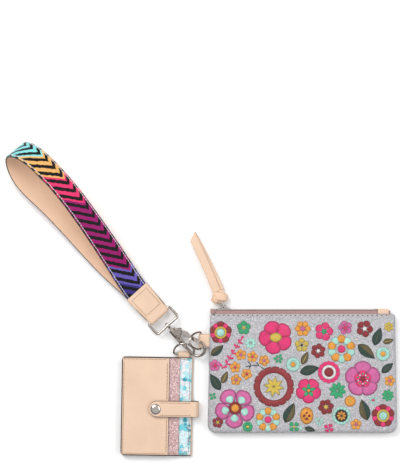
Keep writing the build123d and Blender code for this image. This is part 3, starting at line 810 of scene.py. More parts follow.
def band_ring(pile, centre, inner, outer, look, height, lift, ticks, count):
    """A raised ring of thread; ticks are the notches round its outer edge."""
    shares = (0.0, 0.0, 0.05, 0.18, 0.5, 0.82, 0.95, 1.0, 1.0)
    points, lay, rim = [], [], []
    for row, share in enumerate(shares):
        for k in range(count):
            t = 2 * math.pi * k / count
            notch = 0.0
            if ticks:
                wave = abs(((k * ticks / count) % 1) - 0.5)
                notch = max(0.0, wave - 0.38) / 0.12
            r = inner + (outer - inner) * share * (1 - 0.2 * notch)
            rise = height * (1 - abs(2 * share - 1) ** 3.2) ** 0.55
            if row in (0, len(shares) - 1):
                rise = UNDER_CLOTH
            z = rise + lift - 0.5 * notch * share * height
            points.append((centre[0] + r * math.cos(t), centre[1] + r * math.sin(t), z))
            lay.append((t * 8, r))
            # Painted shade: the thread material darkens the ring's edges and its sunken notches by this rim
            # value.
            rim.append(max(abs(2 * share - 1), notch * share))
    points = np.array(points)
    points[:, 2] += front_height(points[:, 0], points[:, 1])
    faces = [f[::-1] for f in quads(len(shares), count)]
    bottom = (len(shares) - 1) * count
    faces += [(bottom + (k + 1) % count, bottom + k, k, (k + 1) % count) for k in range(count)]
    pile.add(points, faces, look, lay, rim)


def petals(count, colour, inner, outer, width, first=90.0, blunt=0.8, peak=0.62):
    return ("petals", colour, count, inner, outer, width, first, blunt, peak)


def disc(colour, half_x, half_y=None, dx=0.0, dy=0.0, turn=0.0, height=None):
    return ("disc", colour, half_x, half_y or half_x, dx, dy, turn, height)


def ring(colour, inner, outer, ticks=0):
    return ("ring", colour, inner, outer, ticks)


def beads(count, colour, orbit, radius, first):
    return ("beads", colour, count, orbit, radius, first)


def blossom(colour, size, centre, heart=1.3, count=5, first=90.0, width=None):
    """A simple flower: its petals and a round centre."""
    reach = size / 2
    wide = width or reach * (0.86 if count == 5 else 0.74)
    return [petals(count, colour, reach * 0.12, reach, wide, first), disc(centre, heart)]


FLOWERS = [
    ("rosette_left", (-85, 43), [
        petals(5, "hotpink", 4.6, 11.2, 6.8, 54, 0.5), petals(5, "maroon", 5.0, 11.8, 7.8, 90, 0.5),
        ring("gold", 4.2, 6.3), disc("mint", 4.3),
    ]),
    ("green_star_flower", (-61, 48), blossom("green", 15, "gold", 1.7)),
    ("great_pink_flower", (-28, 38), [
        petals(5, "hotpink", 2.5, 18, 16.5, 40, 0.62, 0.6), disc("gold", 6.4, 5.0),
    ]),
    ("orange_flower_top", (0, 47), blossom("orange", 17, "orchid", 2.5, 6, 60)),
    ("gold_flower", (-1, 30), blossom("gold", 15, "dark", 1.3)),
    ("pink_flower_top", (22, 44), blossom("hotpink", 20, "green", 2.6, 5, 75)),
    ("orchid_flower_top", (44, 48),
     blossom("orchid", 15, "hotpink", 1.7, 5, 105) + [petals(5, "hotpink", 0.6, 3.8, 1.6, 105)]),
    ("maroon_flower_top", (64, 47), blossom("maroon", 18, "white", 2.3, 5, 65)),
    ("gold_bud", (89, 49), blossom("gold", 10.5, "gold", 1.3, 6)),
    ("mint_disc_right", (83, 21), [
        disc("mint", 7.4, height=0.5), ring("mint", 3.4, 7.2), disc("orange", 2.7),
    ]),
    ("maroon_flower_mid", (16, 24), blossom("maroon", 16, "white", 1.9, 6, 80)),
    ("circle_wreath_right", (40, 26), [
        beads(5, "mint", 10.2, 4.3, 54), beads(5, "orange", 10.4, 4.4, 90), disc("hotpink", 3.9),
    ]),
    ("mint_spokes", (-54, 32), [petals(8, "mint", 0.4, 6.2, 3.2, 90)]),
    ("orchid_flower_left", (-91, 9),
     blossom("orchid", 13, "hotpink", 1.5) + [petals(5, "hotpink", 0.6, 3.4, 1.5)]),
    ("blossom_one", (-64, 20), blossom("orange", 12, "orchid", 1.4, 5, 100)),
    ("blossom_two", (-52, 18), blossom("orange", 12, "red", 1.4, 5, 80)),
    ("blossom_three", (-40, 14), blossom("orange", 12, "orchid", 1.4, 5, 60)),
    ("blossom_four", (-70, 7), blossom("orange", 12, "red", 1.4, 5, 95)),
    ("blossom_five", (-58, 0), blossom("orange", 12, "red", 1.4, 5, 50)),
    ("blossom_six", (-69, -6), blossom("orange", 12, "orchid", 1.4, 5, 85)),
    ("green_sprig", (-25, 16), [
        petals(3, "green", 0.6, 5.6, 3.0, 60), petals(3, "green", 0.6, 4.6, 2.8, 0),
    ]),
    ("mint_disc_mid", (-10, 10), [
        disc("mint", 7.4, height=0.5), ring("mint", 3.4, 7.2), disc("orange", 2.7),
    ]),
    ("scalloped_rose", (27, 2), [
        petals(14, "hotpink", 6.4, 11.8, 5.2, 90, 0.5), ring("white", 4.6, 7.4), disc("maroon", 5.0),
    ]),
    ("great_orchid_flower", (62, -5), [
        petals(5, "orchid", 2.5, 19, 18.0, 90, 0.6, 0.62), petals(5, "hotpink", 1.2, 9.6, 7.4, 90, 0.6),
        beads(5, "white", 4.9, 0.9, 54), beads(5, "green", 5.4, 1.0, 90), disc("maroon", 2.2),
    ]),
    ("ticked_ring", (-30, -13), [
        ring("maroon", 14.0, 21.0, 15), petals(8, "gold", 0.2, 11.0, 4.4, 80, 0.9, 0.42),
    ]),
    ("layered_pink_flower", (6, -17), [
        petals(5, "hotpink", 2.0, 13.6, 12.6, 54, 0.6), petals(5, "green", 0.8, 7.6, 4.2, 90, 0.9, 0.5),
        disc("orange", 1.7),
    ]),
    ("green_asterisk_mid", (36, -17), [petals(8, "green", 0.5, 9.0, 4.4, 78, 0.7)]),
    ("orange_flower_right", (90, -7), blossom("orange", 12, "orchid", 1.5, 5, 75)),
    ("green_asterisk_right", (88, -22), [petals(8, "green", 0.4, 6.6, 3.3, 78, 0.7)]),
    ("white_daisy", (73, -27), [petals(6, "mint", 0.8, 5.4, 2.6, 90, 0.7), disc("hotpink", 1.4)]),
    ("orange_disc", (49, -28), [disc("orange", 5.8), disc("gold", 1.9, 1.5)]),
    ("green_clover_left", (-93, -23), [petals(4, "green", 0.3, 3.9, 3.2, 60)]),
    ("great_mint_orchid", (-70, -35), [
        petals(5, "orchid", 3.0, 21.5, 18.4, 50, 0.62), petals(5, "mint", 5.2, 14.8, 9.0, 50, 0.7),
        ring("maroon", 3.8, 6.7), disc("orange", 4.2),
    ]),
    ("seeded_oval", (4, -43), [
        disc("orange", 7.0, 9.0), disc("maroon", 1.6, 1.2, dy=3.1, turn=30),
        disc("maroon", 1.6, 1.2, dx=2.6, turn=30), disc("maroon", 1.6, 1.2, dx=-2.6, turn=30),
        disc("maroon", 1.6, 1.2, dy=-3.1, turn=30),
    ]),
    ("maroon_flower_low", (24, -34), blossom("maroon", 17, "gold", 2.2, 6, 70)),
    ("framed_daisy", (40, -43), [
        petals(14, "mint", 5.8, 9.7, 4.6, 90, 0.5), disc("dark", 6.5),
        petals(8, "orange", 0.5, 5.2, 2.2, 90),
    ]),
    ("mint_sprig", (17, -49), [
        petals(3, "mint", 0.6, 5.4, 2.8, 40), petals(3, "mint", 0.6, 4.4, 2.4, 100),
    ]),
    ("pink_clover", (27, -56), [petals(4, "hotpink", 0.4, 5.4, 4.6, 60), disc("orchid", 1.1)]),
    ("orange_flower_low", (55, -52), blossom("orange", 12, "orchid", 1.6)),
    ("rosette_right", (83, -43), [
        petals(5, "hotpink", 4.8, 11.8, 7.0, 54, 0.5), petals(5, "maroon", 5.2, 12.2, 8.0, 90, 0.5),
        ring("gold", 4.4, 6.6), disc("mint", 4.5),
    ]),
    ("circle_wreath_left", (-36, -47), [
        beads(5, "mint", 9.0, 3.8, 54), beads(5, "orange", 9.0, 3.9, 90), disc("hotpink", 3.4),
    ]),
    ("green_oval_ring", (-57, -54.5), [ring("green", 1.6, 5.2), disc("gold", 1.8, 1.4)]),
    ("green_clover_low", (-9, -54.5), blossom("green", 12, "gold", 1.3, 4, 45, 5.2)),
    ("maroon_flower_corner", (-88, -50), blossom("maroon", 12, "gold", 1.6, 5, 80)),
    ("mint_bud", (-2, -56), [disc("mint", 1.7, 2.3)]),
]


def embroider(name, centre, layers, stands_for):
    """One flower, its layers from the cloth up. Each lies on the layer under it."""
    pile = Pile()
    used = []
    step = 0.0
    for kind, colour, *sizes in layers:
        tall = 0.0
        if colour not in used:
            used.append(colour)
        look = used.index(colour)
        if kind == "petals":
            count, inner, outer, width, first, blunt, peak = sizes
            shape = outline_petal(outer - inner, width, 24, blunt, peak)
            tall = min(1.25, 0.45 + width * 0.06)
            for k in range(count):
                heading = first + 360 * k / count - 90
                puff(pile, shape, centre, heading, look, tall, step + 0.02 * (k % 2), (0, inner))
        elif kind == "disc":
            half_x, half_y, dx, dy, turn, height = sizes
            tall = height or min(1.1, 0.4 + half_x * 0.1)
            spot = (centre[0] + dx, centre[1] + dy)
            puff(pile, outline_oval(half_x, half_y, 28), spot, turn, look, tall, step, heart=(0, 0))
        elif kind == "ring":
            inner, outer, ticks = sizes
            height = min(1.2, 0.45 + (outer - inner) * 0.1)
            band_ring(pile, centre, inner, outer, look, height, step, ticks, 150 if ticks else 48)
        elif kind == "beads":
            count, orbit, radius, first = sizes
            tall = 0.45 + radius * 0.14
            for k in range(count):
                t = math.radians(first + 360 * k / count)
                spot = (centre[0] + orbit * math.cos(t), centre[1] + orbit * math.sin(t))
                puff(pile, outline_oval(radius, radius, 20), spot, 0, look, tall, step, heart=(0, 0))
        # White and mint beads have the next beads beside them, not on top of them.
        side_by_side = kind == "beads" and colour in ("white", "mint")
        step += LAYER_STEP if side_by_side else max(LAYER_STEP, 0.72 * tall)
    looks = [threads[colour] for colour in used]
    return pile.piece("flower_" + name, "pouch", looks, "flower_thread", stands_for, smooth=180)


for index, (name, centre, layers) in enumerate(FLOWERS):
    embroider(name, centre, layers, ("embroidered_flowers",) if index == 0 else ())

LEAVES = [
    ("top_right", 77, 38, 20, 70, "dark"), ("small_right", 88, 34, 12, 15, "olive"),
    ("two_tone_right", 65, 24, 23, -40, "two"), ("two_tone_left", -89, 24, 17, 40, "two"),
    ("olive_mid", 2, 16, 15, 65, "olive"), ("dark_mid", 6, 4, 21, 15, "dark"),
    ("dark_right", 87, 6, 16, 40, "dark"), ("dark_left", -90, -9, 20, 122, "dark"),
    ("olive_left", -81, -4, 14, 65, "olive"), ("two_tone_low", -14, -41, 23, 65, "owt"),
    ("dark_low", 7, -57, 12, -15, "dark"), ("two_tone_tall", 64, -38, 23, 105, "two"),
]


def leaf_outline(length, width, count=24):
    half = []
    for k in range(count // 2 + 1):
        s = k / (count // 2)
        half.append((width / 2 * (math.sin(math.pi * s ** 0.8)) ** 0.9, (s - 0.45) * length))
    return np.array(half + [(-x, y) for x, y in half[-2:0:-1]])


def stroke(pile, start, end, width, height):
    """One fat straight stitch."""
    start, end = np.array(start, float), np.array(end, float)
    way = end - start
    long = float(np.linalg.norm(way))
    degrees = math.degrees(math.atan2(way[1], way[0])) - 90
    puff(pile, outline_petal(long, width, 16, 0.5, 0.5), start, degrees, 0, height)


for index, (name, x, y, long, heading, kind) in enumerate(LEAVES):
    pile = Pile()
    wide = long * 0.5
    shape = leaf_outline(long, wide)
    if kind in ("two", "owt"):
        for sign, look in ((1, 0), (-1, 1)) if kind == "two" else ((1, 1), (-1, 0)):
            lobe = shape.copy()
            lobe[:, 0] = np.where(lobe[:, 0] * sign > 0, lobe[:, 0], lobe[:, 0] * 0.06)
            heart = (sign * wide * 0.2, 0.02 * long)
            puff(pile, lobe, (x, y), heading - 90, look, 0.95, 0.0, heart=heart)
        looks = ("darkleaf", "olive", "olive")
    else:
        puff(pile, shape, (x, y), heading - 90, 0, 1.0, heart=(0, 0.02 * long))
        looks = ("darkleaf", "olive", "olive") if kind == "dark" else ("olive", "olive", "gold")
    rib = outline_petal(long * 0.82, 0.55, 16, 0.5, 0.5)
    puff(pile, rib, (x, y), heading - 90, 2, 0.3, 0.93, (0, -long * 0.42))
    looks = [threads[look] for look in looks]
    stands_for = ("embroidered_leaves",) if index == 0 else ()
    pile.piece("leaf_" + name, "pouch", looks, "leaf_thread", stands_for, smooth=180)

twig = Pile()
fork, tip = (-45, 8.5), (-53, 9.2)
for a, b in (((-37, 3), fork), (fork, tip), (tip, (-60, 7.2)), (tip, (-57.5, 13.6)), (fork, (-48.5, 12.8)),
             (tip, (-56.5, 5.4))):
    stroke(twig, a, b, 1.1, 0.5)
twig.piece("leaf_twig", "pouch", [threads["dark"]], "leaf_thread", smooth=180)

sprig = Pile()
stem = [(-84, 5), (-80, 9), (-77, 14), (-74, 20), (-70, 26), (-67, 31), (-63, 37)]
for a, b in zip(stem, stem[1:]):
    stroke(sprig, a, b, 1.4, 0.7)
for k, (x, y) in enumerate(stem[:-1]):
    for turn in (38, -62) if k % 2 else (62, -38):
        bud = outline_petal(5.4 - 0.25 * k, 2.3, 16, 0.7, 0.6)
        puff(sprig, bud, (x + 1, y + 1.5), 55 + turn - 90, 0, 0.8)
puff(sprig, outline_petal(5.0, 2.6, 16, 0.7, 0.6), (-64, 35.5), -32, 0, 0.8)
sprig.piece("leaf_pink_sprig", "pouch", [threads["hotpink"]], "flower_thread", smooth=180)

# ---------------------------------------------------------------- zip
for side in ("front", "back"):
    soft_copy("zip_tape_" + side, "zip_tape_cloth_" + side, "pouch", tape, 0.3, 2)
soft_copy("zip_end_tab_right", "zip_end_leather", "pouch", skin, 0.3, 4)
soft_copy("zip_end_tab_left", "zip_end_cloth", "pouch", tape, 0.3, 8)
soft_copy("zip_slider", "zip_slider_body", "slider", nickel, 0.22, 3)

# ---------------------------------------------------------------- side tab and pouch ring
RING_X = -105.2


def folded_tab(name, body, origin, x_dir, y_dir, eye, tail, width, thick, node, pinch=None):
    """A leather strip folded round a ring's bar, which runs along y_dir, with both tails towards x_dir."""
    radius = eye - thick / 2
    low = radius if pinch is None else pinch
    path = [(tail - (tail - 1.5) * k / 10, -(low + (radius - low) * max(0, (k - 4) / 6))) for k in range(10)]
    for k in range(13):
        t = math.radians(-90 - 180 * k / 12)
        path.append((radius * math.cos(t), radius * math.sin(t)))
    path += [(x, -z) for x, z in path[9::-1]]
    points = placed([(x, 0.0, z) for x, z in path], origin, x_dir, y_dir, np.cross(x_dir, y_dir))
    pile = Pile().add(*strip(points, np.array(y_dir, float) * -1, width, thick, looks=(0, 1, 0)))
    return pile.piece(name, body, [skin, skin_edge], "leather", (node,), smooth=50)


folded_tab(
    "pouch_side_leather", "pouch", (RING_X, TAB_Y, MID), (1, 0, 0), (0, 1, 0), 2.4, 10.2, 13.5, 1.2,
    "pouch_side_tab",
)

# ---------------------------------------------------------------- zip pull
SLIDER_X, PIVOT_Y, LEAN = -81.8, 69.15, 23.5
PLY_START = 17.0
pull_x = (math.cos(math.radians(LEAN)), math.sin(math.radians(LEAN)), 0.0)
pull_y = (-pull_x[1], pull_x[0], 0.0)


def pull_place(points):
    return placed(points, (SLIDER_X, PIVOT_Y, MID), pull_x, pull_y, UP)


def ply(name, node, x, z, end, cut):
    """One ply of the pull's tail: it rises from the knot and ends in a slanting cut."""
    half = 4.2
    left, right = x - half, x + half
    corners = ((right, PLY_START, 0.3), (right, end, 0.4), (left, end - cut, 0.4), (left, PLY_START, 0.3))

    def bend(points):
        run = points[:, 1] - PLY_START
        t = run / 60.0
        points[:, 2] += 0.55 * np.sin(t * 4.2 + x * 0.4) * (1 if x == 0 else 0.5) + 0.25
        points[:, 0] += 0.45 * np.sin(t * 3.3)
        if x > 0:
            points[:, 0] += 1.5 - 3.0 * np.clip(run / (end - PLY_START), 0, 1)
        return pull_place(points)

    pile = Pile().add(*plate(corners, rounded(z, z + 1.3, 0.35), 2.0, 3, (2, 1, 0), bend))
    return pile.piece(name, "pull", [skin, skin_edge, skin_inner], "leather", (node,), smooth=50)


ply("pull_ply_front", "pull_strip_front", 0.0, 0.3, 84.0, 8.0)
ply("pull_ply_back", "pull_strip_back", 2.2, -1.5, 83.6, 8.0)

knot = Pile()
p, f = ellipsoid((0, 12.0, 0), (0, 6.3, 0), (6.2, 0, 0), (0, 0, 2.9), 20, 10)
knot.add(pull_place(p), f, 2)
for turn_deg, centre, reach, rise, width, start, stop, squeeze in (
    (24, (-1.0, 12.4), 7.1, 3.0, 7.6, -62, 236, 0.9),
    (-38, (1.2, 11.6), 7.3, 3.65, 8.2, -70, 240, 0.9),
):
    c, s = math.cos(math.radians(turn_deg)), math.sin(math.radians(turn_deg))
    path, widths = [], []
    for k in range(41):
        t = math.radians(start + (stop - start) * k / 40)
        u, z = reach * math.copysign(abs(math.cos(t)) ** squeeze, math.cos(t)), rise * math.sin(t)
        path.append((centre[0] + u * c, centre[1] + u * s, z))
        widths.append(width * (1 - 0.16 * abs(math.cos(t))))
    side = placed([(-s, c, 0)], (0, 0, 0), pull_x, pull_y, UP)[0]
    knot.add(*strip(pull_place(path), -side, widths, 1.2, 8, cup=0.25))
loop = [(0.0, 12.0 - k, 1.9 - 0.012 * k * k) for k in range(6)]
for degrees in range(15, 180, 15):
    t = math.radians(degrees)
    loop.append((0.0, 6.4 - 1.5 * math.sin(t), 1.5 * math.cos(t)))
loop += [(0.0, 7.0 + k, -1.6 - 0.05 * k) for k in range(6)]
side = placed([(1, 0, 0)], (0, 0, 0), pull_x, pull_y, UP)[0]
knot.add(*strip(pull_place(loop), -side, 6.2, 1.1))
knot.piece("pull_leather_knot", "pull", [skin, skin_edge, skin_inner], "leather", ("pull_knot",), smooth=50)

# ---------------------------------------------------------------- card case
CARD_X, CARD_Y, CARD_TURN = -151.0, -33.8, math.radians(-1.0)
card_x = (math.cos(CARD_TURN), math.sin(CARD_TURN), 0.0)
card_y = (-card_x[1], card_x[0], 0.0)
HALF_W, HALF_H = 37.0, 51.2
SEAM = 3.5
CARD_STITCH = (3.9, 2.2, 0.42)


def card_place(points):
    return placed(points, (CARD_X, CARD_Y, 0.0), card_x, card_y, UP)


def card_corners(left, right, low, high, round_left=3.0):
    return ((left, low, round_left), (right, low, 0.5), (right, high, 0.5), (left, high, round_left))


def card_layer(name, node, low, slot_high, high, right, face, slot_name, sag=0.0):
    """A layer of the case. A pocket also has the seam allowance under it on three sides."""
    pile = Pile()
    rim = 0.95 if slot_high > low else 0.0

    def bend(points):
        u, v = points[:, 0] / HALF_W, points[:, 1] / HALF_H
        points[:, 2] -= sag * np.clip(1 - u * u, 0, 1) * np.clip(1 - v * v, 0, 1) * (points[:, 2] > slot_high)
        return card_place(points)

    outline = card_corners(-HALF_W + rim, right, -HALF_H + rim, HALF_H - rim)
    pile.add(*plate(outline, rounded(slot_high, high, 0.22), 3.0, 5, (0, 1, 0), bend))
    inner_left = -HALF_W + 2.4
    seams = (
        (-HALF_W + 0.03, -HALF_W + SEAM, -HALF_H + 3, HALF_H - 3),
        (inner_left, right - 0.05, HALF_H - SEAM, HALF_H - 0.04),
        (inner_left, right - 0.05, -HALF_H + 0.04, -HALF_H + SEAM),
    )
    for edges in seams if slot_high > low else ():
        outline = card_corners(*edges, 0.5)
        pile.add(*plate(outline, [(0, low), (0, high - 0.12)], 8.0, 2, (1, 1, 1), card_place))
    return pile.piece(name, "card", [face, dark_edge], slot_name, (node,), smooth=50)


card_layer("card_back_leather", "card_back_panel", 1.3, 1.3, 2.7, 37.0, skin, "leather")
card_layer("card_holographic", "card_pocket_holographic", 2.7, 3.5, 4.1, 35.6, foil, "holographic", 0.12)
card_layer("card_rose_glitter", "card_pocket_glitter", 4.1, 4.9, 5.5, 23.3, rose, "glitter", 0.12)
card_layer("card_front_leather", "card_pocket_front", 5.5, 6.3, 7.5, 12.2, skin, "leather", 0.15)

rows = Pile()
for y in (HALF_H - 2.3, -HALF_H + 2.3):
    for left, right, z in ((-34.2, 10.6, 7.5), (14.5, 22.4, 5.5), (25.0, 35.0, 4.1)):
        line = card_place(np.array([(x, y, z) for x in np.linspace(left, right, 30)]))
        stitch_row(rows, line, UP, *CARD_STITCH)
for x, z in ((-HALF_W + 2.3, 7.5), (12.2 - 2.0, 7.5), (35.6 - 1.9, 4.1)):
    for low, high in ((-46.5, -12.6), (8.2, 46.5)) if x > 0 else ((-46.5, 46.5),):
        line = card_place(np.array([(x, y, z) for y in np.linspace(low, high, 40)]))
        stitch_row(rows, line, UP, *CARD_STITCH)
rows.piece("card_stitching", "card", [tan_thread, needle_hole_shade], "leather", smooth=180)

CARD_RING_LOCAL = (27.1, 54.9, 2.8)
ring_at = card_place([CARD_RING_LOCAL])[0]
folded_tab(
    "card_ring_leather", "card", ring_at, tuple(-c for c in card_y), card_x, 2.3, 5.4, 12.0, 1.0,
    "card_ring_tab", pinch=0.6,
)

# The snap strap is one leather. The anchor and most of its wrap stay with the case, and the rest
# bends over the wrap's top on to the leaf.
LEAF_Y, LEAF_W, WRAP_X, LEAF_TIP, LEAF_Z = -2.3, 16.6, 38.4, -7.6, 10.0
wrap_r = (LEAF_Z - 0.6) / 2
wrap_mid = 0.6 + wrap_r
SPLIT_ANGLE = 63


def on_wrap(angle):
    turn = math.radians(angle)
    return (WRAP_X + wrap_r * math.cos(turn), wrap_mid + wrap_r * math.sin(turn))


def snap_strap(name, body, path, widths, node, ride=True):
    points = card_place([(x, LEAF_Y, z) for x, z in path])
    pile = Pile().add(*strip(points, np.array(card_y), widths, 1.2, 8))
    return pile.piece(name, body, [skin, dark_edge, skin_inner], "leather", (node,), smooth=50, ride=ride)


anchor_path = [(WRAP_X - 34.0 + 34.0 * k / 14, 0.6) for k in range(14)]
anchor_path += [on_wrap(angle) for angle in range(-90, SPLIT_ANGLE + 3, 9)]
snap_strap("card_anchor_leather", "card", anchor_path, [LEAF_W] * len(anchor_path), "card_strap_anchor")

leaf_path = [on_wrap(angle) for angle in range(SPLIT_ANGLE, 91, 3)]
leaf_path += [(WRAP_X - 6.0 * k / 20, LEAF_Z) for k in range(1, 21)]
leaf_run = leaf_path[-1][0] - LEAF_TIP
leaf_path += [(LEAF_TIP + leaf_run * (1 - k / 40), LEAF_Z) for k in range(1, 41)]
leaf_widths = []
for x, z in leaf_path:
    curl = min(1.0, max(0.0, (LEAF_TIP + 7.8 - x) / 8.0))
    leaf_widths.append(LEAF_W * max(0.12, math.sqrt(1 - curl * curl)) ** 0.85)
snap_leaf = snap_strap(
    "card_snap_leather", "card_snap", leaf_path, leaf_widths, "card_snap_strap", ride=False,
)
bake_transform(snap_leaf)

rows = Pile()
for sign in (1, -1):
    line = [(x, LEAF_Y + sign * (LEAF_W / 2 - 1.9), LEAF_Z + 0.6) for x in np.linspace(34.0, 2.0, 34)]
    stitch_row(rows, card_place(line), UP, *CARD_STITCH)
rows.piece("card_snap_stitching", "card_snap", [tan_thread, needle_hole_shade], "leather", smooth=180)

# ---------------------------------------------------------------- snap, clip and rings
soft_copy("snap_socket", "snap_socket_cup", "card_snap", nickel, 0.16, 2)
soft_copy("clip_body", "clip_cast_body", "clip", cast, 0.26, 5)
soft_copy("clip_gate", "clip_lever", "gate", nickel, 0.2, 4)
soft_copy("swivel_eye", "swivel_cast_eye", "swivel", nickel, 0.2, 3)

SNAP_X, SNAP_Y = -1.2, -2.6
dome = Pile()
profile = [
    (0.0, 12.3), (1.6, 12.22), (3.0, 11.98), (4.1, 11.6), (4.75, 11.25), (4.95, 11.1), (5.15, 11.15),
    (5.35, 11.1), (5.42, 10.9), (5.42, 10.62), (0.0, 10.62),
]
around = 48
circle = [(math.cos(2 * math.pi * k / around), math.sin(2 * math.pi * k / around)) for k in range(around)]
rings = [(SNAP_X + r * c, SNAP_Y + r * s, z) for r, z in profile[1:-1] for c, s in circle]
rings += [(SNAP_X, SNAP_Y, profile[0][1]), (SNAP_X, SNAP_Y, profile[-1][1])]
faces = [face[::-1] for face in quads(len(profile) - 2, around)]
top, bottom = len(rings) - 2, len(rings) - 1
last = (len(profile) - 3) * around
faces += [(k, (k + 1) % around, top) for k in range(around)]
faces += [(last + (k + 1) % around, last + k, bottom) for k in range(around)]
dome.add(card_place(rings), faces)
dome.piece("snap_domed_cap", "card_snap", [nickel], "nickel", ("snap_cap",), smooth=50)

# ---------------------------------------------------------------- wrist strap
UPPER_RUN = (
    (-152.4, 64.1, 8.45), (-171.3, 84.8, 8.6), (-190.0, 113.0, 17.5), (-220.0, 158.5, 31.0),
    (-253.5, 202.0, 42.0),
)
FAR_BEND = ((-285.5, 229.5, 38.5), (-296.5, 229.5, 22.0), (-292.0, 209.5, 10.0))
LOWER_RUN = (
    (-268.5, 183.0, 7.6), (-233.5, 147.0, 5.6), (-195.5, 107.0, 4.4), (-171.3, 84.8, 6.6),
    (-152.4, 64.1, 6.75),
)
ROLLS = (0, 0, 12, 24, 30, 27, 25, 22, 18, 12, 6, 0, 0)
CLIP = np.array((-141.6, 52.3, 7.6))
CLIP_TURN = math.radians(-47.6)
clip_x = np.array((math.cos(CLIP_TURN), math.sin(CLIP_TURN), 0.0))
clip_y = np.array((-clip_x[1], clip_x[0], 0.0))
BAND_W, BAND_T = 25.4, 1.6


def cubic_route(stations, count):
    """A smooth curve through the stations, with the place of each station along it."""
    p = np.array(stations, float)
    t = np.r_[0, np.cumsum(np.linalg.norm(np.diff(p, axis=0), axis=1))]
    t /= t[-1]
    n = len(p)

    def end_slope(ts, ps, at):
        """Slope of the cubic through four stations, at one of its ends."""
        slope = np.zeros(3)
        for i in range(4):
            for j in range(4):
                if j != i:
                    term = 1.0 / (ts[i] - ts[j])
                    for m in range(4):
                        if m not in (i, j):
                            term *= (at - ts[m]) / (ts[i] - ts[m])
                    slope += ps[i] * term
        return slope

    h = np.diff(t)
    a = np.zeros((n, n))
    b = np.zeros((n, 3))
    a[0, 0] = a[-1, -1] = 1
    b[0], b[-1] = end_slope(t[:4], p[:4], t[0]), end_slope(t[-4:], p[-4:], t[-1])
    for i in range(1, n - 1):
        a[i, i - 1], a[i, i], a[i, i + 1] = h[i], 2 * (h[i - 1] + h[i]), h[i - 1]
        b[i] = 3 * (h[i] * (p[i] - p[i - 1]) / h[i - 1] + h[i - 1] * (p[i + 1] - p[i]) / h[i])
    m = np.linalg.solve(a, b)
    u = np.linspace(0, 1, count)
    k = np.clip(np.searchsorted(t, u, "right") - 1, 0, n - 2)
    s = ((u - t[k]) / h[k])[:, None]
    hk = h[k][:, None]
    out = (p[k] * (2 * s ** 3 - 3 * s ** 2 + 1) + m[k] * hk * (s ** 3 - 2 * s ** 2 + s)
           + p[k + 1] * (3 * s ** 2 - 2 * s ** 3) + m[k + 1] * hk * (s ** 3 - s ** 2))
    return out, u, t


route, places, station_places = cubic_route(UPPER_RUN + FAR_BEND + LOWER_RUN, 361)
rolls = np.radians(np.interp(places, station_places, ROLLS))
way = np.gradient(route, axis=0)
way /= np.linalg.norm(way, axis=1)[:, None]
edge_dir = clip_y * np.cos(rolls)[:, None] - np.array((0, 0, 1.0)) * np.sin(rolls)[:, None]
edge_dir -= way * (edge_dir * way).sum(1)[:, None]
edge_dir /= np.linalg.norm(edge_dir, axis=1)[:, None]
outward = np.cross(edge_dir, way)
pile = Pile().add(*strip(route, edge_dir, BAND_W, BAND_T, 10))
pile.piece("strap_leather", "strap", [skin, dark_edge, skin_inner], "leather", ("strap_band",), smooth=50)

first, last = 12, 349
ribbon_route = (route + outward * (BAND_T / 2 + 0.22))[first:last]
pile = Pile()
p, f, look, lay = strip(ribbon_route, edge_dir[first:last], BAND_W - 1.0, 0.4, 12, (0, 0, 0))
tab_share = 13.0
lay[:, 1] -= tab_share
pile.add(p, f, look, lay)
pile.piece("strap_printed_ribbon", "strap", [ribbon], "ribbon", ("strap_ribbon",), smooth=50)
rows = Pile()
for sign in (1, -1):
    line = (route + outward * (BAND_T / 2 + 0.43) + edge_dir * sign * 10.7)[first + 4:last - 4]
    share = np.linspace(0, 1, len(resampled(line, 3.1)[0]))
    beside = outward[first + 4:last - 4]
    lifts = np.stack([np.interp(share, np.linspace(0, 1, len(line)), beside[:, k]) for k in range(3)], 1)
    stitch_row(rows, line, lifts, 3.1, 3.0, 0.46, hole_shades=False)
rows.piece("strap_stitching", "strap", [white_thread], "ribbon", smooth=180)

TAB_FAR, TAB_BAR = -45.0, -11.1
tab_r = 2.46
path = [(TAB_FAR + (TAB_BAR - TAB_FAR) * k / 16, tab_r) for k in range(16)]
for degrees in range(0, 181, 12):
    t = math.radians(degrees)
    path.append((TAB_BAR + tab_r * math.sin(t), tab_r * math.cos(t)))
path += [(TAB_BAR - (TAB_BAR - TAB_FAR) * k / 16, -tab_r) for k in range(1, 17)]
widths = [23.8 + 3.8 * max(0.0, (TAB_BAR - x) / (TAB_BAR - TAB_FAR)) for x, z in path]
points = placed([(x, 0.0, z) for x, z in path], CLIP, clip_x, clip_y, UP)
pile = Pile().add(*strip(points, clip_y * -1, widths, 1.5, 8))
looks = [skin, skin_edge, skin_inner]
pile.piece("strap_end_leather", "strap", looks, "leather", ("strap_end_tab",), smooth=50)
rows = Pile()
box = [(-41.0, -9.9), (-41.0, 9.9), (-19.4, 9.7), (-19.4, -9.7), (-41.0, -9.9)]
for a, b in zip(box, box[1:]):
    line = [(a[0] + (b[0] - a[0]) * t, a[1] + (b[1] - a[1]) * t, tab_r + 0.75) for t in np.linspace(0, 1, 20)]
    line = placed(line, CLIP, clip_x, clip_y, UP)
    stitch_row(rows, line, UP, 3.1, 1.6, 0.36)
rows.piece("strap_end_stitching", "strap", [tan_thread, needle_hole_shade], "leather", smooth=180)

# ---------------------------------------------------------------- finishes of the CAD nodes that stay
STAYS = {
    "zip_teeth_front": teeth, "zip_teeth_back": teeth, "zip_top_stop": teeth, "zip_bottom_stop": teeth,
    "pouch_lining_front": lining, "pouch_lining_back": lining, "pull_ring": nickel, "pouch_d_ring": nickel,
    "card_d_ring": nickel, "rectangular_ring": nickel, "clip_gate_pin": nickel, "clip_gate_spring": steel,
    "snap_post": nickel, "snap_stud": nickel,
}
for node, material in STAYS.items():
    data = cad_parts[node].data
    for index in range(len(data.materials)):
        data.materials[index] = material

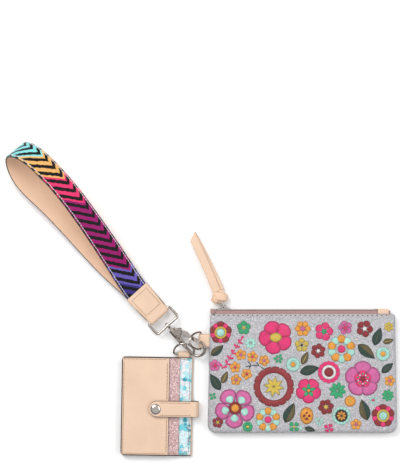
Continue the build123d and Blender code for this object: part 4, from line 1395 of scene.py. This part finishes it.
# ---------------------------------------------------------------- studio
floor_mesh = bpy.data.meshes.new("floor")
FLOOR_HALF, FLOOR_Z = 3, -0.0002
floor_corners = [(x * FLOOR_HALF, y * FLOOR_HALF, FLOOR_Z) for x, y in ((-1, -1), (1, -1), (1, 1), (-1, 1))]
floor_mesh.from_pydata(floor_corners, [], [(0, 1, 2, 3)])
floor = bpy.data.objects.new("floor", floor_mesh)
bpy.context.scene.collection.objects.link(floor)
paper = Shader("floor_paper", 0.9)
paper_tone = paper.ramp(paper.noise(3.0), (0.3, grey(0.975)), (0.7, grey(0.99)))
floor_mesh.materials.append(paper.finish(paper_tone))

world = bpy.data.worlds.new("studio")
bpy.context.scene.world = world
world.use_nodes = True
sky = world.node_tree
place = sky.nodes.new("ShaderNodeTexCoord")
split = sky.nodes.new("ShaderNodeSeparateXYZ")
band = sky.nodes.new("ShaderNodeValToRGB")
sky.links.new(place.outputs["Generated"], split.inputs[0])
sky.links.new(split.outputs[2], band.inputs[0])
sky.links.new(band.outputs[0], sky.nodes["Background"].inputs[0])
stops = band.color_ramp.elements
while len(stops) < 5:
    stops.new(0.5)
for stop, (position, value) in zip(stops, ((0.0, 0.3), (0.12, 0.03), (0.45, 0.08), (0.62, 0.95), (1.0, 1.0))):
    stop.position = position
    stop.color = grey(value)
sky.nodes["Background"].inputs[1].default_value = 0.86

LIT_SPOT = Vector((-0.1, 0.05, 0.0))


def softbox(name, position, size, power):
    light = bpy.data.lights.new(name, "AREA")
    light.shape = "RECTANGLE"
    light.size, light.size_y = size
    light.energy = power
    lamp = bpy.data.objects.new(name, light)
    lamp.location = position
    lamp.rotation_euler = (LIT_SPOT - Vector(position)).to_track_quat("-Z", "Y").to_euler()
    bpy.context.scene.collection.objects.link(lamp)


softbox("key_softbox", (-0.7, 0.8, 1.1), (0.9, 0.9), 13.0)
softbox("fill_softbox", (0.9, 0.2, 1.0), (1.2, 0.8), 6.0)

camera_data = bpy.data.cameras.new("camera")
camera = bpy.data.objects.new("camera", camera_data)
bpy.context.scene.collection.objects.link(camera)
VIEW_X, VIEW_Y, VIEW_TALL, VIEW_AWAY = -0.1063, 0.1470, 0.4826, 2.0
camera.location = (VIEW_X, VIEW_Y, VIEW_AWAY)
camera.rotation_euler = (0, 0, 0)
camera_data.sensor_fit = "VERTICAL"
camera_data.sensor_height = 36.0
camera_data.lens = 36.0 * VIEW_AWAY / VIEW_TALL
camera_data.clip_end = 20.0
bpy.context.scene.camera = camera
bpy.context.scene.view_settings.view_transform = "Standard"
